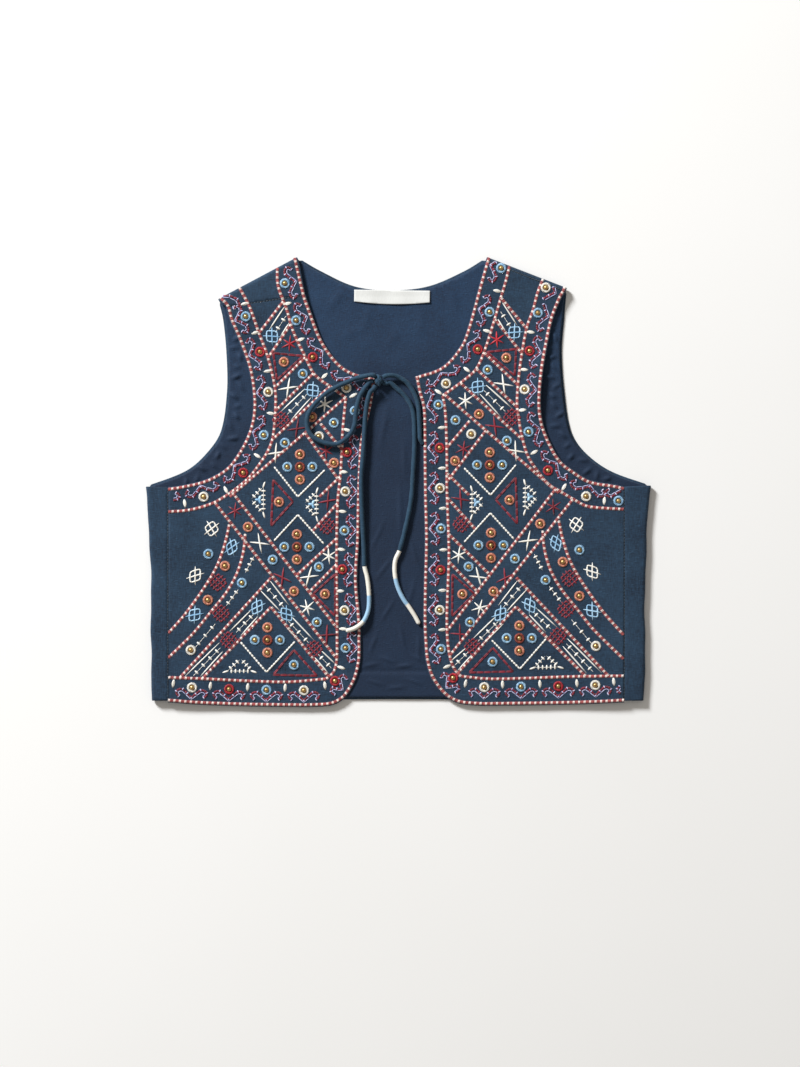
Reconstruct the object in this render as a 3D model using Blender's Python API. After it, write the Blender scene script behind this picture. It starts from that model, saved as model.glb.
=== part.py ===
"""Embroidered cropped vest, laid flat on its back with its tie fastened in a half bow.

+X runs across the chest, +Y from the hem to the shoulders and +Z up from the surface.
Right and left are the wearer's, so the right front lies at negative X.
"""

import math
from collections import namedtuple

import bmesh
import bpy
from mathutils import Vector
from mathutils.geometry import delaunay_2d_cdt

# Walls and gaps, in metres
OUTER_WALL = 0.0010
LINING_WALL = 0.0010
FRONT_WALL = 0.0016
LABEL_WALL = 0.0010
GAP = 0.0003

# The fold at each side and shoulder, where the back turns over to the front
FOLD_RADIUS = 0.0035
FOLD_LENGTH = math.pi * FOLD_RADIUS
FOLD_ROWS = 6
FOLD_TOP = 2.0 * FOLD_RADIUS

# Heights of the layers above the surface
LINING_BASE = OUTER_WALL + GAP
FRONT_BASE = LINING_BASE + LINING_WALL + GAP
FRONT_AT_SEAM = FOLD_TOP - FRONT_WALL

# How far the fronts need to settle from a seam down onto the lining
SIDE_SETTLE = 0.065
SHOULDER_SETTLE = 0.050

# Spacing of the points along an edge and inside a panel
EDGE_STEP = 0.009
FRONT_LATTICE = 0.015
LINING_LATTICE = 0.028
FOLD_STEP = 0.016

# How far the lining stops inside the edge of the outer cloth
LINING_INSET = 0.0022

At = namedtuple("At", "across up")
Ridge = namedtuple("Ridge", "across up turn half_length half_width rise")
Stretch = namedtuple("Stretch", "edge first last count inset")
Way = namedtuple("Way", "across up height")
Shoulder = namedtuple("Shoulder", "neck tip seam_neck seam_tip")

# The folds at the sides, half the chest from the middle, from the underarm to the hem
UNDERARM_RIGHT = At(-0.2454, -0.0040)
UNDERARM_LEFT = At(0.2454, -0.0030)
SIDE_FOLD = [
    At(0.2454, -0.0030),
    At(0.2425, -0.0300),
    At(0.2405, -0.0700),
    At(0.2396, -0.1100),
    At(0.2396, -0.2000),
    At(0.2385, -0.2120),
]
SIDE_SEAM = {-1: 0.2231, 1: 0.2192}
SIDE_TOP_AT_SEAM = {-1: -0.0045, 1: -0.0040}
SIDE_HEM = -0.2116

# The shoulder folds, and the seams that join the fronts to what is turned over
SHOULDERS = {
    -1: Shoulder(At(-0.0980, 0.2187), At(-0.1746, 0.1780), At(-0.0893, 0.1815), At(-0.1668, 0.1700)),
    1: Shoulder(At(0.0863, 0.2187), At(0.1639, 0.1887), At(0.0850, 0.2147), At(0.1624, 0.1850)),
}

# Edges of the back, seen from above
BACK_NECK = [
    At(-0.0980, 0.2187),
    At(-0.0747, 0.2052),
    At(-0.0420, 0.1905),
    At(-0.0078, 0.1867),
    At(0.0290, 0.1905),
    At(0.0640, 0.2052),
    At(0.0863, 0.2187),
]
BACK_ARMHOLE = {
    -1: [
        At(-0.1746, 0.1780),
        At(-0.1698, 0.1576),
        At(-0.1664, 0.1200),
        At(-0.1662, 0.0880),
        At(-0.1717, 0.0509),
        At(-0.1833, 0.0315),
        At(-0.2047, 0.0121),
        At(-0.2454, -0.0040),
    ],
    1: [
        At(0.1639, 0.1887),
        At(0.1615, 0.1600),
        At(0.1591, 0.1280),
        At(0.1615, 0.0900),
        At(0.1678, 0.0509),
        At(0.1795, 0.0315),
        At(0.2047, 0.0121),
        At(0.2454, -0.0030),
    ],
}
BACK_HEM = [
    At(-0.2350, -0.2114),
    At(-0.1200, -0.2110),
    At(-0.0050, -0.2105),
    At(0.1200, -0.2110),
    At(0.2350, -0.2114),
]

# Edges of the fronts, seen from above
FRONT_NECK = {
    -1: [
        At(-0.0893, 0.1815),
        At(-0.0844, 0.1673),
        At(-0.0773, 0.1479),
        At(-0.0723, 0.1370),
        At(-0.0668, 0.1282),
        At(-0.0607, 0.1202),
        At(-0.0530, 0.1127),
        At(-0.0438, 0.1074),
        At(-0.0340, 0.1042),
        At(-0.0212, 0.1020),
    ],
    1: [
        At(0.0850, 0.2147),
        At(0.0777, 0.1887),
        At(0.0720, 0.1673),
        At(0.0680, 0.1530),
        At(0.0622, 0.1365),
        At(0.0566, 0.1276),
        At(0.0499, 0.1194),
        At(0.0425, 0.1129),
        At(0.0333, 0.1085),
        At(0.0236, 0.1056),
        At(0.0160, 0.1031),
    ],
}
FRONT_CENTRE = {
    -1: [
        At(-0.0212, 0.1020),
        At(-0.0232, 0.0860),
        At(-0.0255, 0.0720),
        At(-0.0330, 0.0412),
        At(-0.0350, 0.0121),
        At(-0.0361, -0.0170),
        At(-0.0369, -0.0558),
        At(-0.0390, -0.0946),
        At(-0.0359, -0.1334),
        At(-0.0356, -0.1560),
        At(-0.0359, -0.1722),
        At(-0.0395, -0.1887),
        At(-0.0456, -0.2013),
        At(-0.0530, -0.2105),
        At(-0.0650, -0.2164),
        At(-0.0892, -0.2180),
    ],
    1: [
        At(0.0160, 0.1031),
        At(0.0191, 0.0878),
        At(0.0231, 0.0723),
        At(0.0239, 0.0509),
        At(0.0241, 0.0218),
        At(0.0246, -0.0170),
        At(0.0255, -0.0558),
        At(0.0246, -0.0946),
        At(0.0241, -0.1334),
        At(0.0250, -0.1560),
        At(0.0265, -0.1722),
        At(0.0310, -0.1880),
        At(0.0396, -0.2013),
        At(0.0490, -0.2100),
        At(0.0611, -0.2150),
        At(0.0825, -0.2168),
    ],
}
FRONT_HEM = {
    -1: [
        At(-0.0892, -0.2180),
        At(-0.1436, -0.2173),
        At(-0.1921, -0.2156),
        At(-0.2231, -0.2132),
    ],
    1: [
        At(0.0825, -0.2168),
        At(0.1571, -0.2158),
        At(0.1959, -0.2145),
        At(0.2192, -0.2132),
    ],
}
FRONT_ARMHOLE = {
    -1: [
        At(-0.2231, -0.0045),
        At(-0.2115, -0.0029),
        At(-0.1872, 0.0029),
        At(-0.1700, 0.0120),
        At(-0.1603, 0.0218),
        At(-0.1488, 0.0412),
        At(-0.1425, 0.0600),
        At(-0.1410, 0.0800),
        At(-0.1450, 0.1091),
        At(-0.1549, 0.1382),
        At(-0.1632, 0.1576),
        At(-0.1668, 0.1700),
    ],
    1: [
        At(0.2192, -0.0040),
        At(0.2105, -0.0019),
        At(0.1862, 0.0024),
        At(0.1700, 0.0120),
        At(0.1581, 0.0218),
        At(0.1470, 0.0412),
        At(0.1405, 0.0600),
        At(0.1387, 0.0800),
        At(0.1411, 0.1091),
        At(0.1463, 0.1382),
        At(0.1506, 0.1576),
        At(0.1580, 0.1770),
        At(0.1624, 0.1850),
    ],
}

# Soft folds of the fronts: where each ridge lies, how it turns from +X, and how high it stands
FRONT_RIDGES = [
    Ridge(-0.178, -0.045, math.radians(-62), 0.060, 0.016, 0.0010),
    Ridge(-0.120, -0.150, math.radians(84), 0.055, 0.018, 0.0008),
    Ridge(-0.125, 0.020, math.radians(-40), 0.040, 0.014, 0.0007),
    Ridge(-0.088, 0.130, math.radians(68), 0.038, 0.012, 0.0006),
    Ridge(0.176, -0.052, math.radians(58), 0.058, 0.016, 0.0010),
    Ridge(0.112, -0.160, math.radians(96), 0.050, 0.018, 0.0009),
    Ridge(0.120, 0.012, math.radians(44), 0.042, 0.014, 0.0007),
    Ridge(0.092, 0.140, math.radians(112), 0.036, 0.012, 0.0006),
]

# Ring-and-bead studs: a thread ring round a hole, with a bead in it
STUD_SIDES = 8
STUD_PROFILE = [(0.0, 0.0021), (0.0021, 0.0008), (0.0037, 0.0012), (0.0049, 0.0)]
STUD_CLEAR = 0.0085

# Studs along the bands, by the distance along each edge to the first and the last, and how far inside
BAND_STUDS = {
    -1: [
        Stretch("neck", 0.0200, 0.0900, 3, 0.0169),
        Stretch("centre", 0.0370, 0.2640, 7, 0.0152),
        Stretch("hem", 0.0020, 0.1117, 4, 0.0163),
        Stretch("armhole", 0.0310, 0.2110, 6, 0.0157),
    ],
    1: [
        Stretch("neck", 0.0468, 0.1165, 3, 0.0169),
        Stretch("centre", 0.0312, 0.2670, 7, 0.0164),
        Stretch("hem", 0.0008, 0.1095, 4, 0.0182),
        Stretch("armhole", 0.0325, 0.2110, 6, 0.0163),
    ],
}
CORNER_STUD = {-1: At(-0.0611, -0.1925), 1: At(0.0534, -0.1896)}

# Studs inside the bands, on the right front; the left front mirrors them
LOZENGE_CENTRES = [At(-0.0951, 0.0150), At(-0.0980, -0.0626), At(-0.1266, -0.1528)]
LOZENGE_ARM = 0.0122
DIAGONAL_START = At(-0.1455, -0.0432)
DIAGONAL_STEP = At(0.0223, -0.0308)
DIAGONAL_COUNT = 4
SINGLE_STUDS = [
    At(-0.1106, 0.1169),
    At(-0.0922, 0.1052),
    At(-0.1096, 0.0383),
    At(-0.0834, 0.0635),
    At(-0.0621, 0.0577),
    At(-0.0766, 0.0446),
    At(-0.0621, 0.0189),
    At(-0.1154, -0.0189),
    At(-0.0766, -0.0820),
    At(-0.0708, -0.1082),
    At(-0.1678, -0.0810),
    At(-0.1843, -0.1140),
    At(-0.1838, -0.0694),
    At(-0.1513, -0.0975),
    At(-0.2008, -0.1625),
    At(-0.1009, -0.1770),
]
MIRROR_SHIFT = At(-0.0048, 0.0039)
MIRROR_LEAN = 0.0125
MIRROR_LEAN_FROM = 0.177

# The label at the back of the neck
LABEL_LENGTH = 0.0735
LABEL_DEPTH = 0.0115
LABEL_SAG = 0.0022
LABEL_CENTRE = At(-0.0058, 0.1808)
LABEL_TURN = math.radians(-0.8)

# The tie
CORD_DIAMETER = 0.0045
TIP_DIAMETER = 0.0043
TIP_RIGHT_LENGTH = 0.077
TIP_LEFT_LENGTH = 0.081
CORD_STEP = 0.0095
KNOT_CENTRE = Way(-0.0189, 0.0989, 0.0086)
KNOT_HALF = Vector((0.0045, 0.0062, 0.0039))
KNOT_LEAVE = 0.0030
TIP_LEAD = 0.0030
CORD_ON_FRONT = 0.0075
CORD_ON_LINING = 0.00500
CORD_ON_STUDS = 0.0092

# Which way each strand leaves the knot
LOOP_LEAVES = (-0.68, 0.60, 0.42)
LOOP_RETURNS = (-0.97, -0.16, -0.18)
TAIL_RIGHT_LEAVES = (-0.48, -0.86, 0.10)
STRAND_LEFT_LEAVES = (0.84, 0.50, 0.10)
TAIL_LEFT_LEAVES = (0.85, -0.36, -0.38)

LOOP_ROUTE = [
    Way(-0.0388, 0.1014, 0.0094),
    Way(-0.0509, 0.0965, CORD_ON_STUDS),
    Way(-0.0660, 0.0888, CORD_ON_STUDS),
    Way(-0.0786, 0.0781, CORD_ON_STUDS),
    Way(-0.0868, 0.0664, CORD_ON_STUDS),
    Way(-0.0880, 0.0548, CORD_ON_STUDS),
    Way(-0.0832, 0.0450, CORD_ON_STUDS),
    Way(-0.0708, 0.0383, CORD_ON_STUDS),
    Way(-0.0592, 0.0374, 0.0088),
    Way(-0.0490, 0.0441, 0.0088),
    Way(-0.0425, 0.0548, CORD_ON_STUDS),
    Way(-0.0410, 0.0684, CORD_ON_STUDS),
    Way(-0.0378, 0.0815, 0.0088),
    Way(-0.0325, 0.0912, 0.0082),
]
TAIL_RIGHT_ROUTE = [
    Way(-0.0270, 0.0870, 0.0086),
    Way(-0.0300, 0.0770, 0.0079),
    Way(-0.0316, 0.0650, CORD_ON_FRONT),
    Way(-0.0328, 0.0480, CORD_ON_FRONT),
    Way(-0.0340, 0.0280, CORD_ON_FRONT),
    Way(-0.0358, 0.0060, CORD_ON_FRONT),
    Way(-0.0357, -0.0140, CORD_ON_FRONT),
    Way(-0.0348, -0.0330, 0.0066),
    Way(-0.0338, -0.0530, 0.0052),
    Way(-0.0330, -0.0700, CORD_ON_LINING),
    Way(-0.0326, -0.0811, CORD_ON_LINING),
    Way(-0.0300, -0.0920, CORD_ON_LINING),
    Way(-0.0285, -0.1040, CORD_ON_LINING),
    Way(-0.0281, -0.1150, CORD_ON_LINING),
    Way(-0.0292, -0.1250, 0.0056),
    Way(-0.0338, -0.1348, 0.0070),
    Way(-0.0417, -0.1411, CORD_ON_FRONT),
    Way(-0.0509, -0.1440, CORD_ON_FRONT),
]
STRAND_LEFT_ROUTE = [
    Way(-0.0060, 0.1036, 0.0085),
    Way(0.0000, 0.1022, 0.0070),
    Way(0.0087, 0.0965, 0.0056),
    Way(0.0155, 0.0868, CORD_ON_LINING),
    Way(0.0194, 0.0752, CORD_ON_LINING),
    Way(0.0204, 0.0640, CORD_ON_LINING),
    Way(0.0209, 0.0540, CORD_ON_LINING),
    Way(0.0212, 0.0470, CORD_ON_LINING),
    Way(0.0213, 0.0425, CORD_ON_LINING),
]
TAIL_LEFT_ROUTE = [
    Way(-0.0080, 0.0968, 0.0066),
    Way(-0.0019, 0.0917, 0.0056),
    Way(0.0058, 0.0845, CORD_ON_LINING),
    Way(0.0121, 0.0752, CORD_ON_LINING),
    Way(0.0149, 0.0650, CORD_ON_LINING),
    Way(0.0156, 0.0530, CORD_ON_LINING),
    Way(0.0157, 0.0330, CORD_ON_LINING),
    Way(0.0146, 0.0121, CORD_ON_LINING),
    Way(0.0126, -0.0170, CORD_ON_LINING),
    Way(0.0068, -0.0461, CORD_ON_LINING),
    Way(0.0014, -0.0662, CORD_ON_LINING),
    Way(-0.0024, -0.0747, CORD_ON_LINING),
    Way(-0.0034, -0.0839, CORD_ON_LINING),
    Way(-0.0022, -0.0946, CORD_ON_LINING),
    Way(0.0010, -0.1048, CORD_ON_LINING),
    Way(0.0058, -0.1140, CORD_ON_LINING),
    Way(0.0107, -0.1208, CORD_ON_LINING),
    Way(0.0165, -0.1298, CORD_ON_LINING),
    Way(0.0206, -0.1376, CORD_ON_LINING),
]

# Colours as red, green and blue from 0 to 255, and roughness
OUTER_CLOTH = ((53, 71, 87), 0.85)
LINING_CLOTH = ((50, 67, 92), 0.80)
LABEL_CLOTH = ((234, 235, 233), 0.75)
CORD_CLOTH = ((50, 68, 84), 0.85)
TIP_THREAD = ((206, 212, 208), 0.60)


def clear_scene():
    """Remove every object that the scene holds."""
    for item in list(bpy.data.objects):
        bpy.data.objects.remove(item, do_unlink=True)


def material(name, finish):
    """A Principled material from a colour of 0 to 255 and a roughness."""
    colour, roughness = finish
    made = bpy.data.materials.new(name)
    made.use_nodes = True
    shader = made.node_tree.nodes["Principled BSDF"]
    linear = [(channel / 255.0) ** 2.2 for channel in colour]
    shader.inputs["Base Color"].default_value = (*linear, 1.0)
    shader.inputs["Roughness"].default_value = roughness
    shader.inputs["Metallic"].default_value = 0.0
    return made


def hermite(start, start_slope, end, end_slope, share):
    """A point of the cubic between two points with given slopes."""
    square = share * share
    cube = square * share
    first = (2 * cube - 3 * square + 1) * start + (cube - 2 * square + share) * start_slope
    return first + (3 * square - 2 * cube) * end + (cube - square) * end_slope


def smooth_path(rows, step):
    """Points every step or so along the smooth curve through rows of two or three values."""
    knots = [Vector(row) for row in rows]
    spans = [(b - a).length for a, b in zip(knots, knots[1:])]
    slopes = [(knots[1] - knots[0]) / spans[0]]
    for index in range(1, len(knots) - 1):
        slopes.append((knots[index + 1] - knots[index - 1]) / (spans[index] + spans[index - 1]))
    slopes.append((knots[-1] - knots[-2]) / spans[-1])
    path = []
    for index, span in enumerate(spans):
        count = max(1, round(span / step))
        for part in range(count):
            a, b = knots[index], knots[index + 1]
            path.append(hermite(a, slopes[index] * span, b, slopes[index + 1] * span, part / count))
    path.append(knots[-1])
    return path


def signed_area(outline):
    """Area inside the outline, positive when it runs anticlockwise."""
    total = 0.0
    for a, b in zip(outline, outline[1:] + outline[:1]):
        total += a.x * b.y - b.x * a.y
    return total / 2.0


def anticlockwise(outline, apart=1e-5):
    """The outline without points closer than apart, running anticlockwise."""
    kept = []
    for point in outline:
        if not kept or (point - kept[-1]).length > apart:
            kept.append(point)
    if (kept[0] - kept[-1]).length < apart:
        kept.pop()
    if signed_area(kept) < 0:
        kept.reverse()
    return kept


def edge_distance(point, outline):
    """Distance from a point to the nearest side of a closed outline."""
    nearest = 1.0
    for a, b in zip(outline, outline[1:] + outline[:1]):
        side = b - a
        share = max(0.0, min(1.0, (point - a).dot(side) / side.length_squared))
        nearest = min(nearest, (point - a - side * share).length)
    return nearest


def is_inside(point, outline):
    """Whether a point lies inside a closed outline."""
    inside = False
    for a, b in zip(outline, outline[1:] + outline[:1]):
        if (a.y > point.y) != (b.y > point.y):
            if point.x < a.x + (point.y - a.y) / (b.y - a.y) * (b.x - a.x):
                inside = not inside
    return inside


def inset(outline, distance):
    """An anticlockwise outline moved inwards, mitred at its corners."""
    moved = []
    for index, point in enumerate(outline):
        arriving = (point - outline[index - 1]).normalized()
        leaving = (outline[(index + 1) % len(outline)] - point).normalized()
        inward = Vector((-arriving.y - leaving.y, arriving.x + leaving.x)).normalized()
        reach = distance / max(0.5, inward.dot(Vector((-leaving.y, leaving.x))))
        candidate = point + inward * reach
        if is_inside(candidate, outline) and edge_distance(candidate, outline) > 0.9 * distance:
            moved.append(candidate)
    return moved


def lattice(outline, spacing, margin):
    """A square lattice of the points that lie well inside an outline."""
    low_x = min(point.x for point in outline)
    high_x = max(point.x for point in outline)
    low_y = min(point.y for point in outline)
    high_y = max(point.y for point in outline)
    points = []
    for row in range(int((high_y - low_y) / spacing) + 1):
        for column in range(int((high_x - low_x) / spacing) + 1):
            point = Vector((low_x + column * spacing, low_y + row * spacing))
            if is_inside(point, outline) and edge_distance(point, outline) > margin:
                points.append(point)
    return points


def within_outline(faces, outline_order):
    """The triangles that the outline encloses, found by spreading inwards from its sides."""
    beyond = {}
    for face in faces:
        for index in range(3):
            beyond[(face[index], face[(index + 1) % 3])] = face
    sides = set(zip(outline_order, outline_order[1:] + outline_order[:1]))
    waiting = [tuple(beyond[side]) for side in sides if side in beyond]
    kept = set()
    while waiting:
        face = waiting.pop()
        if face in kept:
            continue
        kept.add(face)
        for index in range(3):
            start, end = face[index], face[(index + 1) % 3]
            if (start, end) not in sides and (end, start) in beyond:
                waiting.append(tuple(beyond[(end, start)]))
    return sorted(kept)


def add_layer(mesh, outline, inner, place, faces_up):
    """Fill an outline with triangles, move its points into place, and return the outline's vertices."""
    corners = outline + inner
    sides = [(index, (index + 1) % len(outline)) for index in range(len(outline))]
    points, _, faces, sources, _, _ = delaunay_2d_cdt(corners, sides, [], 1, 1e-7, True)
    order = [0] * len(outline)
    for number, source in enumerate(sources):
        for index in source:
            if index < len(outline):
                order[index] = number
    vertices = {}
    for face in within_outline(faces, order):
        for number in face:
            if number not in vertices:
                vertices[number] = mesh.verts.new(place(points[number]))
        ring = [vertices[number] for number in face]
        mesh.faces.new(ring if faces_up else ring[::-1])
    return [vertices[number] for number in order]


def cloth(name, outline, inner, place, raised, finish, collection):
    """A closed wall of cloth: a plain lower layer, an upper layer with raised points, and a rim."""
    outline = anticlockwise(outline)
    mesh = bmesh.new()
    lower = add_layer(mesh, outline, inner[0], place[0], False)
    lifted = lambda point: place[1](point) + Vector((0.0, 0.0, raised(point)))
    upper = add_layer(mesh, outline, inner[1], lifted, True)
    for index, corner in enumerate(lower):
        after = (index + 1) % len(lower)
        mesh.faces.new((corner, lower[after], upper[after], upper[index]))
    bmesh.ops.recalc_face_normals(mesh, faces=mesh.faces)
    data = bpy.data.meshes.new(name)
    mesh.to_mesh(data)
    mesh.free()
    data.materials.append(material(name, finish))
    made = bpy.data.objects.new(name, data)
    collection.objects.link(made)
    return made


def past_fold(distance, depth):
    """How far out and how high a point lies, past a fold's line and at a depth in the wall."""
    reach = FOLD_RADIUS - depth
    if distance <= 0.0:
        return distance, depth
    if distance < FOLD_LENGTH:
        angle = distance / FOLD_RADIUS
        return reach * math.sin(angle), FOLD_RADIUS - reach * math.cos(angle)
    return FOLD_LENGTH - distance, FOLD_TOP - depth


def side_line(up):
    """Where a side's fold begins, measured from the middle."""
    rows = SIDE_FOLD
    if up >= rows[0].up:
        return rows[0].across - FOLD_RADIUS
    for upper, lower in zip(rows, rows[1:]):
        if up >= lower.up:
            share = (upper.up - up) / (upper.up - lower.up)
            return upper.across + share * (lower.across - upper.across) - FOLD_RADIUS
    return rows[-1].across - FOLD_RADIUS


def shoulder_line(side):
    """Start, direction and outward normal of the line where a shoulder's fold begins."""
    shoulder = SHOULDERS[side]
    start = Vector(shoulder.neck)
    along = (Vector(shoulder.tip) - start).normalized()
    outward = Vector((-along.y, along.x))
    if outward.y < 0:
        outward.negate()
    return start - outward * FOLD_RADIUS, along, outward


def back_point(point, depth):
    """Where a point of the back's flat pattern lies once the sides and shoulders are folded."""
    side = -1 if point.x < 0 else 1
    if point.y < 0.02:
        line = side_line(point.y)
        out, height = past_fold(abs(point.x) - line, depth)
        return Vector((side * (line + out), point.y, height))
    start, _, outward = shoulder_line(side)
    past = (point - start).dot(outward)
    out, height = past_fold(past, depth)
    moved = point + outward * (out - past)
    return Vector((moved.x, moved.y, height))


def unfold_side(side, at):
    """The flat pattern's point for a point of the strip turned to the front at a side."""
    line = side_line(at.up)
    return Vector((side * (line + FOLD_LENGTH + line - abs(at.across)), at.up))


def unfold_shoulder(side, at):
    """The flat pattern's point for a point of the strip turned to the front at a shoulder."""
    start, _, outward = shoulder_line(side)
    back = (Vector(at) - start).dot(outward)
    return Vector(at) + outward * (FOLD_LENGTH - 2.0 * back)


def fold_crossing(first, last):
    """Points across a fold, from its line to its far end, and on to a strip's corner."""
    return [first.lerp(last, row / FOLD_ROWS) for row in range(FOLD_ROWS)]


def side_strip(side):
    """The flat outline of one side's strip, from the hem up to the underarm."""
    hem_line = Vector((side * side_line(SIDE_HEM), SIDE_HEM))
    hem_over = hem_line + Vector((side * FOLD_LENGTH, 0.0))
    seam = SIDE_SEAM[side] + GAP / 2
    top = UNDERARM_RIGHT.up if side < 0 else UNDERARM_LEFT.up
    height = SIDE_TOP_AT_SEAM[side] - SIDE_HEM
    count = round(height / FOLD_STEP)
    levels = [SIDE_HEM + height * number / count for number in range(count + 1)]
    up_seam = [unfold_side(side, At(seam, level)) for level in levels]
    top_line = Vector((side * side_line(top), top))
    top_over = top_line + Vector((side * FOLD_LENGTH, 0.0))
    over_top = fold_crossing(top_line, top_over)
    over_top.reverse()
    return fold_crossing(hem_line, hem_over) + [hem_over] + up_seam + [top_over] + over_top


def shoulder_strip(side):
    """The flat outline of one shoulder's strip, from the armhole to the neck."""
    start, along, outward = shoulder_line(side)
    shoulder = SHOULDERS[side]
    tip_line = Vector(shoulder.tip) - outward * FOLD_RADIUS
    tip_over = tip_line + outward * FOLD_LENGTH
    neck_over = start + outward * FOLD_LENGTH
    inwards = Vector((0.0, GAP))
    tip_seam = unfold_shoulder(side, At(*(Vector(shoulder.seam_tip) + inwards)))
    neck_seam = unfold_shoulder(side, At(*(Vector(shoulder.seam_neck) + inwards)))
    over_neck = fold_crossing(start, neck_over)
    over_neck.reverse()
    along_seam = smooth_path([tip_seam, neck_seam], FOLD_STEP)
    return fold_crossing(tip_line, tip_over) + [tip_over] + along_seam + [neck_over] + over_neck


def back_edges():
    """The back's neck and armholes, stopped at the lines where the folds begin."""
    neck = smooth_path(BACK_NECK, EDGE_STEP)[1:-1]
    armholes = {side: smooth_path(BACK_ARMHOLE[side], EDGE_STEP)[1:-1] for side in (-1, 1)}
    return neck, armholes


def is_before_folds(point, margin):
    """Whether a point of the back lies on its flat part, by a margin."""
    side = -1 if point.x < 0 else 1
    if point.y < 0.02 and abs(point.x) > side_line(point.y) - margin:
        return False
    start, _, outward = shoulder_line(side)
    return (point - start).dot(outward) < -margin


def back_outline():
    """The flat pattern of the back, with what is turned over to the front."""
    neck, armholes = back_edges()
    hem = smooth_path(BACK_HEM, EDGE_STEP)
    outline = [point for point in hem if is_before_folds(point, 0.001)]
    outline += side_strip(1)
    right_way = [point for point in reversed(armholes[1]) if is_before_folds(point, 0.001)]
    outline += right_way + shoulder_strip(1)
    outline += [point for point in reversed(neck) if is_before_folds(point, 0.001)]
    neck_side = shoulder_strip(-1)
    neck_side.reverse()
    outline += neck_side
    outline += [point for point in armholes[-1] if is_before_folds(point, 0.001)]
    far_side = side_strip(-1)
    far_side.reverse()
    return anticlockwise(outline + far_side)


def fold_lattice(outline):
    """Rows of points across each fold, which let the wall bend."""
    points = []
    side_span = UNDERARM_LEFT.up - SIDE_HEM
    columns = round(side_span / FOLD_STEP)
    for side in (-1, 1):
        for column in range(1, columns):
            up = SIDE_HEM + side_span * column / columns
            for row in range(FOLD_ROWS + 1):
                across = side_line(up) + FOLD_LENGTH * row / FOLD_ROWS
                points.append(Vector((side * across, up)))
        start, along, outward = shoulder_line(side)
        span = (Vector(SHOULDERS[side].tip) - Vector(SHOULDERS[side].neck)).length
        shoulder_columns = round(span / FOLD_STEP)
        for column in range(1, shoulder_columns):
            for row in range(FOLD_ROWS + 1):
                past = FOLD_LENGTH * row / FOLD_ROWS
                points.append(start + along * (span * column / shoulder_columns) + outward * past)
    return [point for point in points if edge_distance(point, outline) > 0.0012]


def make_back(collection):
    """The back in outer cloth, flat on the surface and turned over at the sides and shoulders."""
    outline = back_outline()
    inner = fold_lattice(outline)
    for point in lattice(outline, 0.040, 0.012):
        if is_before_folds(point, 0.012):
            inner.append(point)
    place = (lambda point: back_point(point, 0.0), lambda point: back_point(point, OUTER_WALL))
    return cloth("back_panel", outline, (inner, inner), place, lambda point: 0.0, OUTER_CLOTH, collection)


def make_lining(collection):
    """The back's lining, which lies on the back and stops short of its edges."""
    neck, armholes = back_edges()
    hem = smooth_path(BACK_HEM, EDGE_STEP * 2)
    outline = [point for point in hem if is_before_folds(point, 0.0)]
    for side, arm in ((1, armholes[1][::-1]), (-1, armholes[-1])):
        levels = [SIDE_HEM + (UNDERARM_LEFT.up - SIDE_HEM) * share / 10 for share in range(11)]
        upward = [Vector((side * side_line(level), level)) for level in levels]
        start, along, outward = shoulder_line(side)
        span = (Vector(SHOULDERS[side].tip) - Vector(SHOULDERS[side].neck)).length
        across = [start + along * span, start + along * span / 2, start]
        flat_arm = [point for point in arm if is_before_folds(point, 0.001)]
        if side > 0:
            outline += upward + flat_arm + across
            outline += [point for point in reversed(neck) if is_before_folds(point, 0.001)]
        else:
            outline += across[::-1] + flat_arm + upward[::-1]
    outline = inset(anticlockwise(outline, 0.003), LINING_INSET)
    inner = lattice(outline, LINING_LATTICE, 0.006)
    place = (
        lambda point: Vector((point.x, point.y, LINING_BASE)),
        lambda point: Vector((point.x, point.y, LINING_BASE + LINING_WALL)),
    )
    return cloth("back_lining", outline, (inner, inner), place, lambda point: 0.0, LINING_CLOTH, collection)


def fade(share):
    """A soft fall from 1 at 0 to 0 at 1."""
    share = max(0.0, min(1.0, share))
    return (1.0 - share) ** 2 * (1.0 + 2.0 * share)


def ridge_rise(point):
    """Height of the soft folds at a point of the fronts."""
    total = 0.0
    for ridge in FRONT_RIDGES:
        offset = point - Vector((ridge.across, ridge.up))
        along = offset.x * math.cos(ridge.turn) + offset.y * math.sin(ridge.turn)
        aside = offset.y * math.cos(ridge.turn) - offset.x * math.sin(ridge.turn)
        total += ridge.rise * fade(abs(along) / ridge.half_length) * fade(abs(aside) / ridge.half_width)
    return total


def seam_distance(side, point):
    """Distance from a point to the shoulder seam of its front."""
    shoulder = SHOULDERS[side]
    start = Vector(shoulder.seam_neck)
    span = Vector(shoulder.seam_tip) - start
    return abs((point - start).cross(span)) / span.length


def front_height(side, point):
    """Height of a front's underside, which falls from its seams onto the lining."""
    from_side = (SIDE_SEAM[side] - abs(point.x)) / SIDE_SETTLE
    from_shoulder = seam_distance(side, point) / SHOULDER_SETTLE
    held = max(fade(from_side), fade(from_shoulder))
    return FRONT_BASE + (FRONT_AT_SEAM - FRONT_BASE) * held + ridge_rise(point) * (1.0 - held)


def front_edges(side):
    """The edges of one front as named paths, stopped at the middle of the seam gaps."""
    return {
        "neck": smooth_path(FRONT_NECK[side], EDGE_STEP),
        "centre": smooth_path(FRONT_CENTRE[side], EDGE_STEP),
        "hem": smooth_path(FRONT_HEM[side], EDGE_STEP),
        "armhole": smooth_path(FRONT_ARMHOLE[side], EDGE_STEP),
    }


def front_outline(side):
    """The closed outline of one front."""
    edges = front_edges(side)
    outline = edges["neck"] + edges["centre"] + edges["hem"] + edges["armhole"]
    seam = SIDE_SEAM[side] - GAP / 2
    kept = []
    for point in outline:
        kept.append(Vector((side * min(abs(point.x), seam), point.y)))
    return anticlockwise(kept)


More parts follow.
